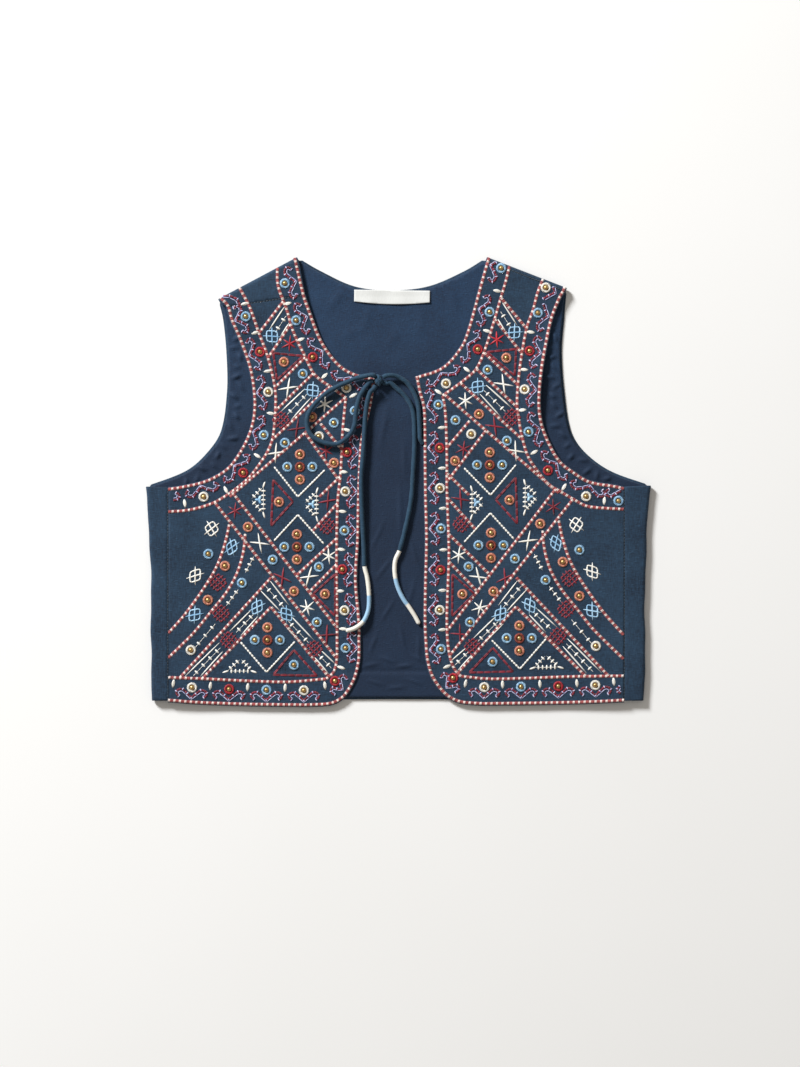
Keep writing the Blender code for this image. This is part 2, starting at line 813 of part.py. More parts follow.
def band_studs(side, outline):
    """Stud centres along the bands, a set distance inside each edge."""
    edges = front_edges(side)
    centres = []
    for stretch in BAND_STUDS[side]:
        path = edges[stretch.edge]
        for number in range(stretch.count):
            goal = stretch.first + (stretch.last - stretch.first) * number / (stretch.count - 1)
            run = 0.0
            for a, b in zip(path, path[1:]):
                span = (b - a).length
                if run + span >= goal or b is path[-1]:
                    along = (b - a).normalized()
                    aside = Vector((-along.y, along.x)) * stretch.inset
                    point = a + along * (goal - run)
                    inward = point + aside if is_inside(point + aside, outline) else point - aside
                    centres.append(inward)
                    break
                run += span
    return centres + [Vector(CORNER_STUD[side])]


def inner_studs(side):
    """Stud centres inside the bands."""
    centres = [Vector(at) for at in SINGLE_STUDS]
    for at in LOZENGE_CENTRES:
        centre = Vector(at)
        centres.append(centre)
        for quarter in range(4):
            angle = quarter * math.pi / 2
            centres.append(centre + LOZENGE_ARM * Vector((math.cos(angle), math.sin(angle))))
    for number in range(DIAGONAL_COUNT):
        centres.append(Vector(DIAGONAL_START) + number * Vector(DIAGONAL_STEP))
    if side < 0:
        return centres
    mirrored = []
    for centre in centres:
        lean = MIRROR_LEAN * (centre.y - MIRROR_LEAN_FROM)
        mirrored.append(Vector((MIRROR_SHIFT.across - centre.x + lean, centre.y + MIRROR_SHIFT.up)))
    return mirrored


def stud_rise(centres, point):
    """Height of the studs above the cloth at a point."""
    nearest = min((point - centre).length for centre in centres)
    for (near, high), (far, low) in zip(STUD_PROFILE, STUD_PROFILE[1:]):
        if nearest <= far:
            return high + (low - high) * (nearest - near) / (far - near)
    return 0.0


def stud_points(centre):
    """Points of one stud: its middle and a ring of points for each step of its profile."""
    points = [centre]
    for radius, _ in STUD_PROFILE[1:]:
        for number in range(STUD_SIDES):
            angle = 2.0 * math.pi * number / STUD_SIDES
            points.append(centre + radius * Vector((math.cos(angle), math.sin(angle))))
    return points


def make_front(side, name, collection):
    """One front: a wall that settles onto the lining, with its studs raised on the outer face."""
    outline = front_outline(side)
    plain = lattice(outline, FRONT_LATTICE, 0.005)
    studs = band_studs(side, outline) + inner_studs(side)
    upper = [point for point in plain if min((point - centre).length for centre in studs) > STUD_CLEAR]
    for centre in studs:
        upper += stud_points(centre)
    place = (
        lambda point: Vector((point.x, point.y, front_height(side, point))),
        lambda point: Vector((point.x, point.y, front_height(side, point) + FRONT_WALL)),
    )
    rise = lambda point: stud_rise(studs, point)
    return cloth(name, outline, (plain, upper), place, rise, OUTER_CLOTH, collection)


def make_label(collection):
    """The bare strip at the back of the neck, its lower edge sagging a little."""
    half = LABEL_LENGTH / 2
    columns = 12
    top = []
    bottom = []
    for column in range(columns + 1):
        across = -half + LABEL_LENGTH * column / columns
        sag = LABEL_SAG * (1.0 - (across / half) ** 2)
        top.append(Vector((across, LABEL_DEPTH / 2)))
        bottom.append(Vector((across, -LABEL_DEPTH / 2 - sag)))
    outline = []
    for point in bottom + top[::-1]:
        turned = Vector((
            point.x * math.cos(LABEL_TURN) - point.y * math.sin(LABEL_TURN),
            point.x * math.sin(LABEL_TURN) + point.y * math.cos(LABEL_TURN),
        ))
        outline.append(turned + Vector(LABEL_CENTRE))
    base = LINING_BASE + LINING_WALL + GAP
    place = (
        lambda point: Vector((point.x, point.y, base)),
        lambda point: Vector((point.x, point.y, base + LABEL_WALL)),
    )
    return cloth("neck_label", outline, ([], []), place, lambda point: 0.0, LABEL_CLOTH, collection)


def knot_exit(direction):
    """Where a strand that leaves the knot in a direction starts, just clear of it, and its next point."""
    unit = Vector(direction).normalized()
    reach = Vector((KNOT_HALF.x * unit.x, KNOT_HALF.y * unit.y, KNOT_HALF.z * unit.z)).length
    start = Vector(KNOT_CENTRE) + unit * (reach + GAP)
    return [start, start + unit * KNOT_LEAVE]


def strand(name, path, diameter, finish, collection):
    """A cord laid along a path of points."""
    curve = bpy.data.curves.new(name, "CURVE")
    curve.dimensions = "3D"
    curve.bevel_depth = diameter / 2
    curve.bevel_resolution = 3
    curve.use_fill_caps = True
    spline = curve.splines.new("POLY")
    spline.points.add(len(path) - 1)
    for slot, point in zip(spline.points, path):
        slot.co = (*point, 1.0)
    curve.materials.append(material(name, finish))
    made = bpy.data.objects.new(name, curve)
    collection.objects.link(made)
    return made


def make_tail(name, tip_name, leaves, route, tip_length, collection):
    """A tail that leaves the knot, and its thread-wrapped tip, which starts face to face with it."""
    path = smooth_path(knot_exit(leaves) + [Vector(way) for way in route], CORD_STEP)
    left = sum((b - a).length for a, b in zip(path, path[1:]))
    cut = 0
    while left > tip_length:
        left -= (path[cut + 1] - path[cut]).length
        cut += 1
    along = (path[cut] - path[cut - 1]).normalized()
    tail_end = path[cut] - along * GAP / 2
    tip_start = path[cut] + along * GAP / 2
    strand(name, path[:cut] + [tail_end], CORD_DIAMETER, CORD_CLOTH, collection)
    tip_path = [tip_start, tip_start + along * TIP_LEAD] + path[cut + 1:]
    strand(tip_name, tip_path, TIP_DIAMETER, TIP_THREAD, collection)


def make_knot(collection):
    """The knot of the half bow, a small rounded lump."""
    bpy.ops.mesh.primitive_uv_sphere_add(segments=16, ring_count=10, location=KNOT_CENTRE, scale=KNOT_HALF)
    bpy.ops.object.transform_apply(location=False, rotation=False, scale=True)
    knot = bpy.context.active_object
    knot.name = "tie_knot"
    knot.data.materials.append(material("tie_knot", CORD_CLOTH))
    for owner in list(knot.users_collection):
        owner.objects.unlink(knot)
    collection.objects.link(knot)


def make_tie(collection):
    """The knot, the loop, the strand and the two tails of the half bow, with their wrapped tips."""
    make_knot(collection)
    loop = knot_exit(LOOP_LEAVES) + [Vector(way) for way in LOOP_ROUTE] + knot_exit(LOOP_RETURNS)[::-1]
    strand("tie_loop", smooth_path(loop, CORD_STEP), CORD_DIAMETER, CORD_CLOTH, collection)
    sewn = knot_exit(STRAND_LEFT_LEAVES) + [Vector(way) for way in STRAND_LEFT_ROUTE]
    strand("tie_strand_left", smooth_path(sewn, CORD_STEP), CORD_DIAMETER, CORD_CLOTH, collection)
    right_tail = (TAIL_RIGHT_LEAVES, TAIL_RIGHT_ROUTE, TIP_RIGHT_LENGTH)
    make_tail("tie_tail_right", "tie_tip_right", *right_tail, collection)
    left_tail = (TAIL_LEFT_LEAVES, TAIL_LEFT_ROUTE, TIP_LEFT_LENGTH)
    make_tail("tie_tail_left", "tie_tip_left", *left_tail, collection)


def main():
    """Build the vest in its own collection."""
    clear_scene()
    collection = bpy.data.collections.new("embroidered_vest")
    bpy.context.scene.collection.children.link(collection)
    make_back(collection)
    make_lining(collection)
    make_front(-1, "right_front", collection)
    make_front(1, "left_front", collection)
    make_label(collection)
    make_tie(collection)


main()
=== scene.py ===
# %% [markdown]
# # An embroidered vest, laid flat
# The vest is a short, sleeveless garment of dark blue-green cotton. Its two fronts are covered in hand
# embroidery: couched cord, brackets, leaves, nets, and rings with a brass bead in each. A cord tie is
# fastened in a half bow at the neck. It lies on its back, so its lining shows between the fronts.
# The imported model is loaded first. It is the fixed frame that every piece below is fitted to.

import math
from collections import namedtuple

import bpy
import numpy as np
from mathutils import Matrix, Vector
from mathutils.geometry import delaunay_2d_cdt


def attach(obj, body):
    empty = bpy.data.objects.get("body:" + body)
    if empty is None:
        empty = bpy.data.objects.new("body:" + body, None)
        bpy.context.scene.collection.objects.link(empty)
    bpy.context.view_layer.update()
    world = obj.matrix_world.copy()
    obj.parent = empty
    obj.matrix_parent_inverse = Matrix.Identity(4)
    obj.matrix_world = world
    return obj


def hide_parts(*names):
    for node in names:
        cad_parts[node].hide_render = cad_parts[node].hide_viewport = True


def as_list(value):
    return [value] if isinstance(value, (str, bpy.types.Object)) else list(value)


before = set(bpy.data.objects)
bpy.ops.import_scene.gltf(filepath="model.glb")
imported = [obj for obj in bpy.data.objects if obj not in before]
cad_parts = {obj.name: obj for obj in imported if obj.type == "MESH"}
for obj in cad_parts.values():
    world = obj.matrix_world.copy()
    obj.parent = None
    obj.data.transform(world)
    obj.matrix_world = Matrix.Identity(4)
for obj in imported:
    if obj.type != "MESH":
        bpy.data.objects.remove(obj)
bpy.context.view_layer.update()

# %% [markdown]
# ## Camera, floor and light
# A garment laid flat is looked at straight from above. A long lens from far away keeps its edges from
# leaning outwards. The camera stands 2.5 m above the cloth's face, where its view is 0.776 m wide.


# %% Camera
def new_object(name, data):
    """A new object in the scene."""
    made = bpy.data.objects.new(name, data)
    bpy.context.scene.collection.objects.link(made)
    return made


VIEW_WIDTH = 0.776
VIEW_HEIGHT = 2.5
VIEW_CENTRE = (0.0019, -0.0495)
CLOTH_HEIGHT = 0.004

lens = bpy.data.cameras.new("camera")
lens.sensor_fit = "HORIZONTAL"
lens.angle = 2.0 * math.atan(VIEW_WIDTH / 2.0 / VIEW_HEIGHT)
camera = new_object("camera", lens)
camera.location = (*VIEW_CENTRE, CLOTH_HEIGHT + VIEW_HEIGHT)
bpy.context.scene.camera = camera
print("camera:", round(math.degrees(lens.angle), 2), "degrees wide")

# %% [markdown]
# Shader maths reads best as plain sums, so one small class wraps a socket and gives it Python's
# operators. Every other node, in materials and in Geometry Nodes alike, comes from one method, `add`.


# %% Sockets with operators, and a tree that adds nodes
class Wire:
    """One output socket of a tree, with the arithmetic of numbers."""

    def __init__(self, tree, socket):
        self.tree = tree
        self.socket = socket

    def maths(self, operation, first, second):
        return self.tree.add("ShaderNodeMath", {"operation": operation}, {0: first, 1: second})

    def __add__(self, other):
        return self.maths("ADD", self, other)

    def __radd__(self, other):
        return self.maths("ADD", other, self)

    def __sub__(self, other):
        return self.maths("SUBTRACT", self, other)

    def __rsub__(self, other):
        return self.maths("SUBTRACT", other, self)

    def __mul__(self, other):
        return self.maths("MULTIPLY", self, other)

    def __rmul__(self, other):
        return self.maths("MULTIPLY", other, self)

    def __pow__(self, other):
        return self.maths("POWER", self, other)


class Tree:
    """A node tree that is filled one node at a time."""

    def __init__(self, tree):
        self.tree = tree

    def add(self, kind, settings=None, inputs=None, output=0):
        """Add a node, set its settings first and then the values or links of its sockets."""
        node = self.tree.nodes.new(kind)
        for name, value in (settings or {}).items():
            setattr(node, name, value)
        for name, value in (inputs or {}).items():
            if isinstance(value, Wire):
                self.tree.links.new(value.socket, node.inputs[name])
            else:
                node.inputs[name].default_value = value
        return Wire(self, node.outputs[output]) if len(node.outputs) else node

    def more(self, wire, output):
        """Another output of the node that a wire comes from."""
        return Wire(self, wire.socket.node.outputs[output])

    def place(self):
        """Object coordinates, in metres."""
        return self.add("ShaderNodeTexCoord", output="Object")

    def read(self, name, output="Fac"):
        """A value that is stored on the mesh."""
        return self.add("ShaderNodeAttribute", {"attribute_name": name}, output=output)

    def mix(self, factor, first, second):
        """Blend two colours, each a wire or a colour of 0 to 255."""
        ends = [end if isinstance(end, Wire) else linear(end) for end in (first, second)]
        return self.add("ShaderNodeMix", {"data_type": "RGBA"}, {0: factor, 6: ends[0], 7: ends[1]}, 2)

    def stretched(self, vector, across, up, deep):
        """A vector scaled by its axes."""
        return self.add("ShaderNodeVectorMath", {"operation": "MULTIPLY"}, {0: vector, 1: (across, up, deep)})

    def noise(self, vector, scale, detail=2.0, roughness=0.5):
        """Smooth noise from 0 to 1."""
        return self.add("ShaderNodeTexNoise", {}, {
            "Vector": vector, "Scale": scale, "Detail": detail, "Roughness": roughness,
        })

    def between(self, value, low, high):
        """How far a value has risen from low to high, from 0 to 1."""
        return self.add("ShaderNodeMapRange", {}, {0: value, 1: low, 2: high, 3: 0.0, 4: 1.0})


def linear(colour):
    """A colour of 0 to 255 as the linear values that a shader takes."""
    return tuple((channel / 255.0) ** 2.2 for channel in colour) + (1.0,)


def new_finish(name, roughness, sheen=0.0):
    """An empty material: its tree, and the shader to link to."""
    made = bpy.data.materials.new(name)
    made.use_nodes = True
    shader = made.node_tree.nodes["Principled BSDF"]
    shader.inputs["Roughness"].default_value = roughness
    shader.inputs["Sheen Weight"].default_value = sheen
    shader.inputs["Sheen Roughness"].default_value = 0.45
    return made, Tree(made.node_tree), shader


def wire_finish(tree, shader, colour, height=None, strength=0.5, distance=0.0003, roughness=None):
    """Link a colour, a bump from a height, and a roughness to a shader."""
    tree.tree.links.new(colour.socket, shader.inputs["Base Color"])
    if height is not None:
        bump = tree.add("ShaderNodeBump", {}, {"Height": height, "Strength": strength, "Distance": distance})
        tree.tree.links.new(bump.socket, shader.inputs["Normal"])
    if roughness is not None:
        tree.tree.links.new(roughness.socket, shader.inputs["Roughness"])


# %% [markdown]
# The vest was laid on smooth white paper. Light comes from the upper left, softly, with the room's own
# light filling the shadows.

# %% Floor and light
FLOOR_REACH = 2.2
FLOOR_LEVEL = -0.0002
LAMP_SIZE = 1.15
LAMP_POWER = 326.0
LAMP_PLACE = Vector((-2.75, 3.05, 2.35))
ROOM_COLOUR = (1.0, 0.94, 0.86, 1.0)
ROOM_STRENGTH = 0.31


def make_floor():
    """A pale sheet of paper under everything."""
    corners = [(across * FLOOR_REACH, up * FLOOR_REACH, FLOOR_LEVEL)
               for across, up in ((-1, -1), (1, -1), (1, 1), (-1, 1))]
    data = bpy.data.meshes.new("floor")
    data.from_pydata(corners, [], [(0, 1, 2, 3)])
    finish, tree, shader = new_finish("white_paper", 0.75)
    mottle = tree.noise(tree.place(), 3.0, 3.0)
    wire_finish(tree, shader, tree.mix(mottle, (250, 250, 249), (254, 254, 254)))
    data.materials.append(finish)
    new_object("floor", data)


def make_light():
    """A broad soft lamp at the upper left, and a pale room."""
    lamp = bpy.data.lights.new("window", "AREA")
    lamp.shape = "DISK"
    lamp.size = LAMP_SIZE
    lamp.energy = LAMP_POWER
    lamp.color = (0.985, 0.995, 1.0)
    holder = new_object("window", lamp)
    holder.location = LAMP_PLACE
    holder.rotation_euler = (-LAMP_PLACE).to_track_quat("-Z", "Y").to_euler()
    room = bpy.data.worlds.new("room")
    room.use_nodes = True
    backdrop = room.node_tree.nodes["Background"]
    backdrop.inputs["Color"].default_value = ROOM_COLOUR
    backdrop.inputs["Strength"].default_value = ROOM_STRENGTH
    bpy.context.scene.world = room


make_floor()
make_light()
bpy.context.scene.view_settings.view_transform = "Standard"
print("floor and light are up")

# %% [markdown]
# ## Measures
# These are the maker's measures of the pattern, in metres, as the solid model has them. +X runs across
# the chest, +Y up to the shoulders and +Z up from the table. Right and left are the wearer's, so the
# right front lies at negative X.

# %% Walls, folds and heights
OUTER_WALL = 0.0010
LINING_WALL = 0.0010
FRONT_WALL = 0.0016
LABEL_WALL = 0.0010
GAP = 0.0003
FOLD_RADIUS = 0.0035
FOLD_LENGTH = math.pi * FOLD_RADIUS
FOLD_TOP = 2.0 * FOLD_RADIUS
LINING_BASE = OUTER_WALL + GAP
FRONT_BASE = LINING_BASE + LINING_WALL + GAP
FRONT_AT_SEAM = FOLD_TOP - FRONT_WALL
SIDE_SETTLE = 0.065
SHOULDER_SETTLE = 0.050
LINING_INSET = 0.0022

Ridge = namedtuple("Ridge", "across up turn half_length half_width rise")
Shoulder = namedtuple("Shoulder", "neck tip seam_neck seam_tip")

# %% The pattern's edges
UNDERARM_UP = {-1: -0.0040, 1: -0.0030}
SIDE_FOLD = [
    (0.2454, -0.0030), (0.2425, -0.0300), (0.2405, -0.0700), (0.2396, -0.1100), (0.2396, -0.2000),
    (0.2385, -0.2120),
]
SIDE_SEAM = {-1: 0.2231, 1: 0.2192}
SIDE_TOP_AT_SEAM = {-1: -0.0045, 1: -0.0040}
SIDE_HEM = -0.2116
SHOULDERS = {
    -1: Shoulder((-0.0980, 0.2187), (-0.1746, 0.1780), (-0.0893, 0.1815), (-0.1668, 0.1700)),
    1: Shoulder((0.0863, 0.2187), (0.1639, 0.1887), (0.0850, 0.2147), (0.1624, 0.1850)),
}
BACK_NECK = [
    (-0.0980, 0.2187), (-0.0747, 0.2052), (-0.0420, 0.1905), (-0.0078, 0.1867), (0.0290, 0.1905),
    (0.0640, 0.2052), (0.0863, 0.2187),
]
BACK_ARMHOLE = {
    -1: [
        (-0.1746, 0.1780), (-0.1698, 0.1576), (-0.1664, 0.1200), (-0.1662, 0.0880), (-0.1717, 0.0509),
        (-0.1833, 0.0315), (-0.2047, 0.0121), (-0.2454, -0.0040),
    ],
    1: [
        (0.1639, 0.1887), (0.1615, 0.1600), (0.1591, 0.1280), (0.1615, 0.0900), (0.1678, 0.0509),
        (0.1795, 0.0315), (0.2047, 0.0121), (0.2454, -0.0030),
    ],
}
BACK_HEM = [
    (-0.2350, -0.2114), (-0.1200, -0.2110), (-0.0050, -0.2105), (0.1200, -0.2110), (0.2350, -0.2114),
]
FRONT_NECK = {
    -1: [
        (-0.0893, 0.1815), (-0.0844, 0.1673), (-0.0773, 0.1479), (-0.0723, 0.1370), (-0.0668, 0.1282),
        (-0.0607, 0.1202), (-0.0530, 0.1127), (-0.0438, 0.1074), (-0.0340, 0.1042), (-0.0212, 0.1020),
    ],
    1: [
        (0.0850, 0.2147), (0.0777, 0.1887), (0.0720, 0.1673), (0.0680, 0.1530), (0.0622, 0.1365),
        (0.0566, 0.1276), (0.0499, 0.1194), (0.0425, 0.1129), (0.0333, 0.1085), (0.0236, 0.1056),
        (0.0160, 0.1031),
    ],
}
FRONT_CENTRE = {
    -1: [
        (-0.0212, 0.1020), (-0.0232, 0.0860), (-0.0255, 0.0720), (-0.0330, 0.0412), (-0.0350, 0.0121),
        (-0.0361, -0.0170), (-0.0369, -0.0558), (-0.0390, -0.0946), (-0.0359, -0.1334), (-0.0356, -0.1560),
        (-0.0359, -0.1722), (-0.0395, -0.1887), (-0.0456, -0.2013), (-0.0530, -0.2105), (-0.0650, -0.2164),
        (-0.0892, -0.2180),
    ],
    1: [
        (0.0160, 0.1031), (0.0191, 0.0878), (0.0231, 0.0723), (0.0239, 0.0509), (0.0241, 0.0218),
        (0.0246, -0.0170), (0.0255, -0.0558), (0.0246, -0.0946), (0.0241, -0.1334), (0.0250, -0.1560),
        (0.0265, -0.1722), (0.0310, -0.1880), (0.0396, -0.2013), (0.0490, -0.2100), (0.0611, -0.2150),
        (0.0825, -0.2168),
    ],
}
FRONT_HEM = {
    -1: [
        (-0.0892, -0.2180), (-0.1436, -0.2173), (-0.1921, -0.2156), (-0.2231, -0.2132),
    ],
    1: [
        (0.0825, -0.2168), (0.1571, -0.2158), (0.1959, -0.2145), (0.2192, -0.2132),
    ],
}
FRONT_ARMHOLE = {
    -1: [
        (-0.2231, -0.0045), (-0.2115, -0.0029), (-0.1872, 0.0029), (-0.1700, 0.0120), (-0.1603, 0.0218),
        (-0.1488, 0.0412), (-0.1425, 0.0600), (-0.1410, 0.0800), (-0.1450, 0.1091), (-0.1549, 0.1382),
        (-0.1632, 0.1576), (-0.1668, 0.1700),
    ],
    1: [
        (0.2192, -0.0040), (0.2105, -0.0019), (0.1862, 0.0024), (0.1700, 0.0120), (0.1581, 0.0218),
        (0.1470, 0.0412), (0.1405, 0.0600), (0.1387, 0.0800), (0.1411, 0.1091), (0.1463, 0.1382),
        (0.1506, 0.1576), (0.1580, 0.1770), (0.1624, 0.1850),
    ],
}

# %% [markdown]
# Every edge, cord and line of stitches starts as a short list of places, joined by one smooth curve.
# The solid model uses the same curve, so the edges here lie exactly where its edges lie.


# %% Smooth paths
def smooth_path(rows, step):
    """Points every step or so along the smooth curve through rows of places."""
    knots = np.array(rows, float)
    spans = np.linalg.norm(np.diff(knots, axis=0), axis=1)
    slopes = np.empty_like(knots)
    slopes[0] = (knots[1] - knots[0]) / spans[0]
    slopes[-1] = (knots[-1] - knots[-2]) / spans[-1]
    for index in range(1, len(knots) - 1):
        slopes[index] = (knots[index + 1] - knots[index - 1]) / (spans[index] + spans[index - 1])
    pieces = []
    for index, span in enumerate(spans):
        count = max(1, round(span / step))
        share = (np.arange(count) / count)[:, None]
        start, end = knots[index], knots[index + 1]
        leaving = (share**3 - 2 * share**2 + share) * slopes[index] * span
        arriving = (share**3 - share**2) * slopes[index + 1] * span
        first = (2 * share**3 - 3 * share**2 + 1) * start + leaving
        last = (3 * share**2 - 2 * share**3) * end + arriving
        pieces.append(first + last)
    return np.vstack(pieces + [knots[-1:]])


def path_length(path):
    """Length of a path of points."""
    return float(np.linalg.norm(np.diff(path, axis=0), axis=1).sum())


def runs_along(path):
    """Distance along a path to each of its points."""
    return np.concatenate([[0.0], np.cumsum(np.linalg.norm(np.diff(path, axis=0), axis=1))])


def walk(path, distances):
    """Points at given distances along a path."""
    return np.stack([np.interp(distances, runs_along(path), column) for column in path.T], axis=1)


def unit(vectors):
    """The same vectors at a length of 1."""
    return vectors / np.linalg.norm(vectors, axis=-1, keepdims=True)


def quarter_turned(vectors):
    """Flat vectors turned a quarter to the left."""
    return np.stack([-vectors[..., 1], vectors[..., 0]], axis=-1)


def closed(outline):
    """An outline with its first point once more at its end."""
    return np.vstack([outline, outline[:1]])


def is_inside(points, outline):
    """Which points lie inside a closed outline."""
    inside = np.zeros(len(points), bool)
    for a, b in zip(outline, np.roll(outline, -1, axis=0)):
        if a[1] != b[1]:
            crosses = (a[1] > points[:, 1]) != (b[1] > points[:, 1])
            across = a[0] + (points[:, 1] - a[1]) / (b[1] - a[1]) * (b[0] - a[0])
            inside ^= crosses & (points[:, 0] < across)
    return inside


def distance_to(points, path):
    """Distance from each point to the nearest side of a path."""
    nearest = np.full(len(points), 1.0)
    for a, b in zip(path, path[1:]):
        side = b - a
        share = np.clip((points - a) @ side / max(side @ side, 1e-12), 0.0, 1.0)
        nearest = np.minimum(nearest, np.linalg.norm(points - a - share[:, None] * side, axis=1))
    return nearest


# %% [markdown]
# ## The tie
# Two rolled cords of the same cloth are tied in a half bow. The cords are the first thing to make,
# because their length and lie can't be changed by anything that comes later. Each is a tube swept
# along its route, a little uneven, as a strip rolled and sewn by hand is.

# %% Measures of the tie
CORD_DIAMETER = 0.0045
TIP_DIAMETER = 0.0043
TIP_RIGHT_LENGTH = 0.077
TIP_LEFT_LENGTH = 0.081
CORD_SIDES = 16
TIP_SIDES = 14
CORD_STEP = 0.0095
FINE_STEP = 0.0008
WRAP_STEP = 0.00026
WRAP_PITCH = 0.00105
TIP_ROUNDING = 0.0022
KNOT_CENTRE = (-0.0189, 0.0989, 0.0086)
KNOT_HALF = (0.0045, 0.0062, 0.0039)
KNOT_LEAVE = 0.0030
CORD_ON_FRONT = 0.0075
CORD_ON_LINING = 0.0050
CORD_ON_STUDS = 0.0092
LOOP_LEAVES = (-0.68, 0.60, 0.42)
LOOP_RETURNS = (-0.97, -0.16, -0.18)
TAIL_RIGHT_LEAVES = (-0.48, -0.86, 0.10)
STRAND_LEFT_LEAVES = (0.84, 0.50, 0.10)
TAIL_LEFT_LEAVES = (0.85, -0.36, -0.38)
LOOP_ROUTE = [
    (-0.0388, 0.1014, 0.0094), (-0.0509, 0.0965, CORD_ON_STUDS), (-0.0660, 0.0888, CORD_ON_STUDS),
    (-0.0786, 0.0781, CORD_ON_STUDS), (-0.0868, 0.0664, CORD_ON_STUDS), (-0.0880, 0.0548, CORD_ON_STUDS),
    (-0.0832, 0.0450, CORD_ON_STUDS), (-0.0708, 0.0383, CORD_ON_STUDS), (-0.0592, 0.0374, 0.0088),
    (-0.0490, 0.0441, 0.0088), (-0.0425, 0.0548, CORD_ON_STUDS), (-0.0410, 0.0684, CORD_ON_STUDS),
    (-0.0378, 0.0815, 0.0088), (-0.0325, 0.0912, 0.0082),
]
TAIL_RIGHT_ROUTE = [
    (-0.0270, 0.0870, 0.0086), (-0.0300, 0.0770, 0.0079), (-0.0316, 0.0650, CORD_ON_FRONT),
    (-0.0328, 0.0480, CORD_ON_FRONT), (-0.0340, 0.0280, CORD_ON_FRONT), (-0.0358, 0.0060, CORD_ON_FRONT),
    (-0.0357, -0.0140, CORD_ON_FRONT), (-0.0348, -0.0330, 0.0066), (-0.0338, -0.0530, 0.0052),
    (-0.0330, -0.0700, CORD_ON_LINING), (-0.0326, -0.0811, CORD_ON_LINING),
    (-0.0300, -0.0920, CORD_ON_LINING), (-0.0285, -0.1040, CORD_ON_LINING),
    (-0.0281, -0.1150, CORD_ON_LINING), (-0.0292, -0.1250, 0.0056), (-0.0338, -0.1348, 0.0070),
    (-0.0417, -0.1411, CORD_ON_FRONT), (-0.0509, -0.1440, CORD_ON_FRONT),
]
STRAND_LEFT_ROUTE = [
    (-0.0060, 0.1036, 0.0085), (0.0000, 0.1022, 0.0070), (0.0087, 0.0965, 0.0056),
    (0.0155, 0.0868, CORD_ON_LINING), (0.0194, 0.0752, CORD_ON_LINING), (0.0204, 0.0640, CORD_ON_LINING),
    (0.0209, 0.0540, CORD_ON_LINING), (0.0212, 0.0470, CORD_ON_LINING), (0.0216, 0.0422, 0.0047),
    (0.0243, 0.0374, 0.0032),
]
TAIL_LEFT_ROUTE = [
    (-0.0080, 0.0968, 0.0066), (-0.0019, 0.0917, 0.0056), (0.0058, 0.0845, CORD_ON_LINING),
    (0.0121, 0.0752, CORD_ON_LINING), (0.0149, 0.0650, CORD_ON_LINING), (0.0156, 0.0530, CORD_ON_LINING),
    (0.0157, 0.0330, CORD_ON_LINING), (0.0146, 0.0121, CORD_ON_LINING), (0.0126, -0.0170, CORD_ON_LINING),
    (0.0068, -0.0461, CORD_ON_LINING), (0.0014, -0.0662, CORD_ON_LINING),
    (-0.0024, -0.0747, CORD_ON_LINING), (-0.0034, -0.0839, CORD_ON_LINING),
    (-0.0022, -0.0946, CORD_ON_LINING), (0.0010, -0.1048, CORD_ON_LINING),
    (0.0058, -0.1140, CORD_ON_LINING), (0.0107, -0.1208, CORD_ON_LINING), (0.0165, -0.1298, CORD_ON_LINING),
    (0.0206, -0.1376, CORD_ON_LINING),
]


# %% Objects, and tubes along a path
def link_mesh(name, points, faces, finish):
    """A new object from points and faces, shaded smooth."""
    data = bpy.data.meshes.new(name)
    data.from_pydata(np.asarray(points).tolist(), [], [tuple(face) for face in faces])
    data.polygons.foreach_set("use_smooth", np.ones(len(data.polygons), bool))
    data.materials.append(finish)
    return new_object(name, data)


def add_values(made, name, values):
    """Store one number on every vertex of an object, for its finish to read."""
    layer = made.data.attributes.new(name, "FLOAT", "POINT")
    layer.data.foreach_set("value", np.asarray(values, np.float32))


def ring_faces(rings, sides):
    """Faces between rings of points, each ring to the next."""
    faces = []
    for low in range(0, (rings - 1) * sides, sides):
        for side in range(sides):
            after = (side + 1) % sides
            faces.append((low + side, low + after, low + sides + after, low + sides + side))
    return faces


def sweep(path, sides, radius_at):
    """A closed tube along a path. radius_at takes the run along it and the angles round it."""
    runs = runs_along(path)
    tangents = unit(np.gradient(path, axis=0))
    normal = np.cross(tangents[0], (0.0, 0.0, 1.0))
    angles = np.arange(sides) * 2.0 * math.pi / sides
    rings = []
    for point, tangent, run in zip(path, tangents, runs):
        normal = unit(normal - tangent * (normal @ tangent))
        spokes = np.cos(angles)[:, None] * normal + np.sin(angles)[:, None] * np.cross(tangent, normal)
        rings.append(point + radius_at(run, angles)[:, None] * spokes)
    count = len(path)
    points = np.vstack(rings + [path[:1], path[-1:]])
    faces = ring_faces(count, sides)
    for side in range(sides):
        after = (side + 1) % sides
        faces.append((count * sides, after, side))
        faces.append((count * sides + 1, (count - 1) * sides + side, (count - 1) * sides + after))
    along = np.concatenate([np.repeat(runs, sides), [0.0, runs[-1]]])
    around = np.concatenate([np.tile(angles, count), [0.0, 0.0]])
    return points, faces, along, around
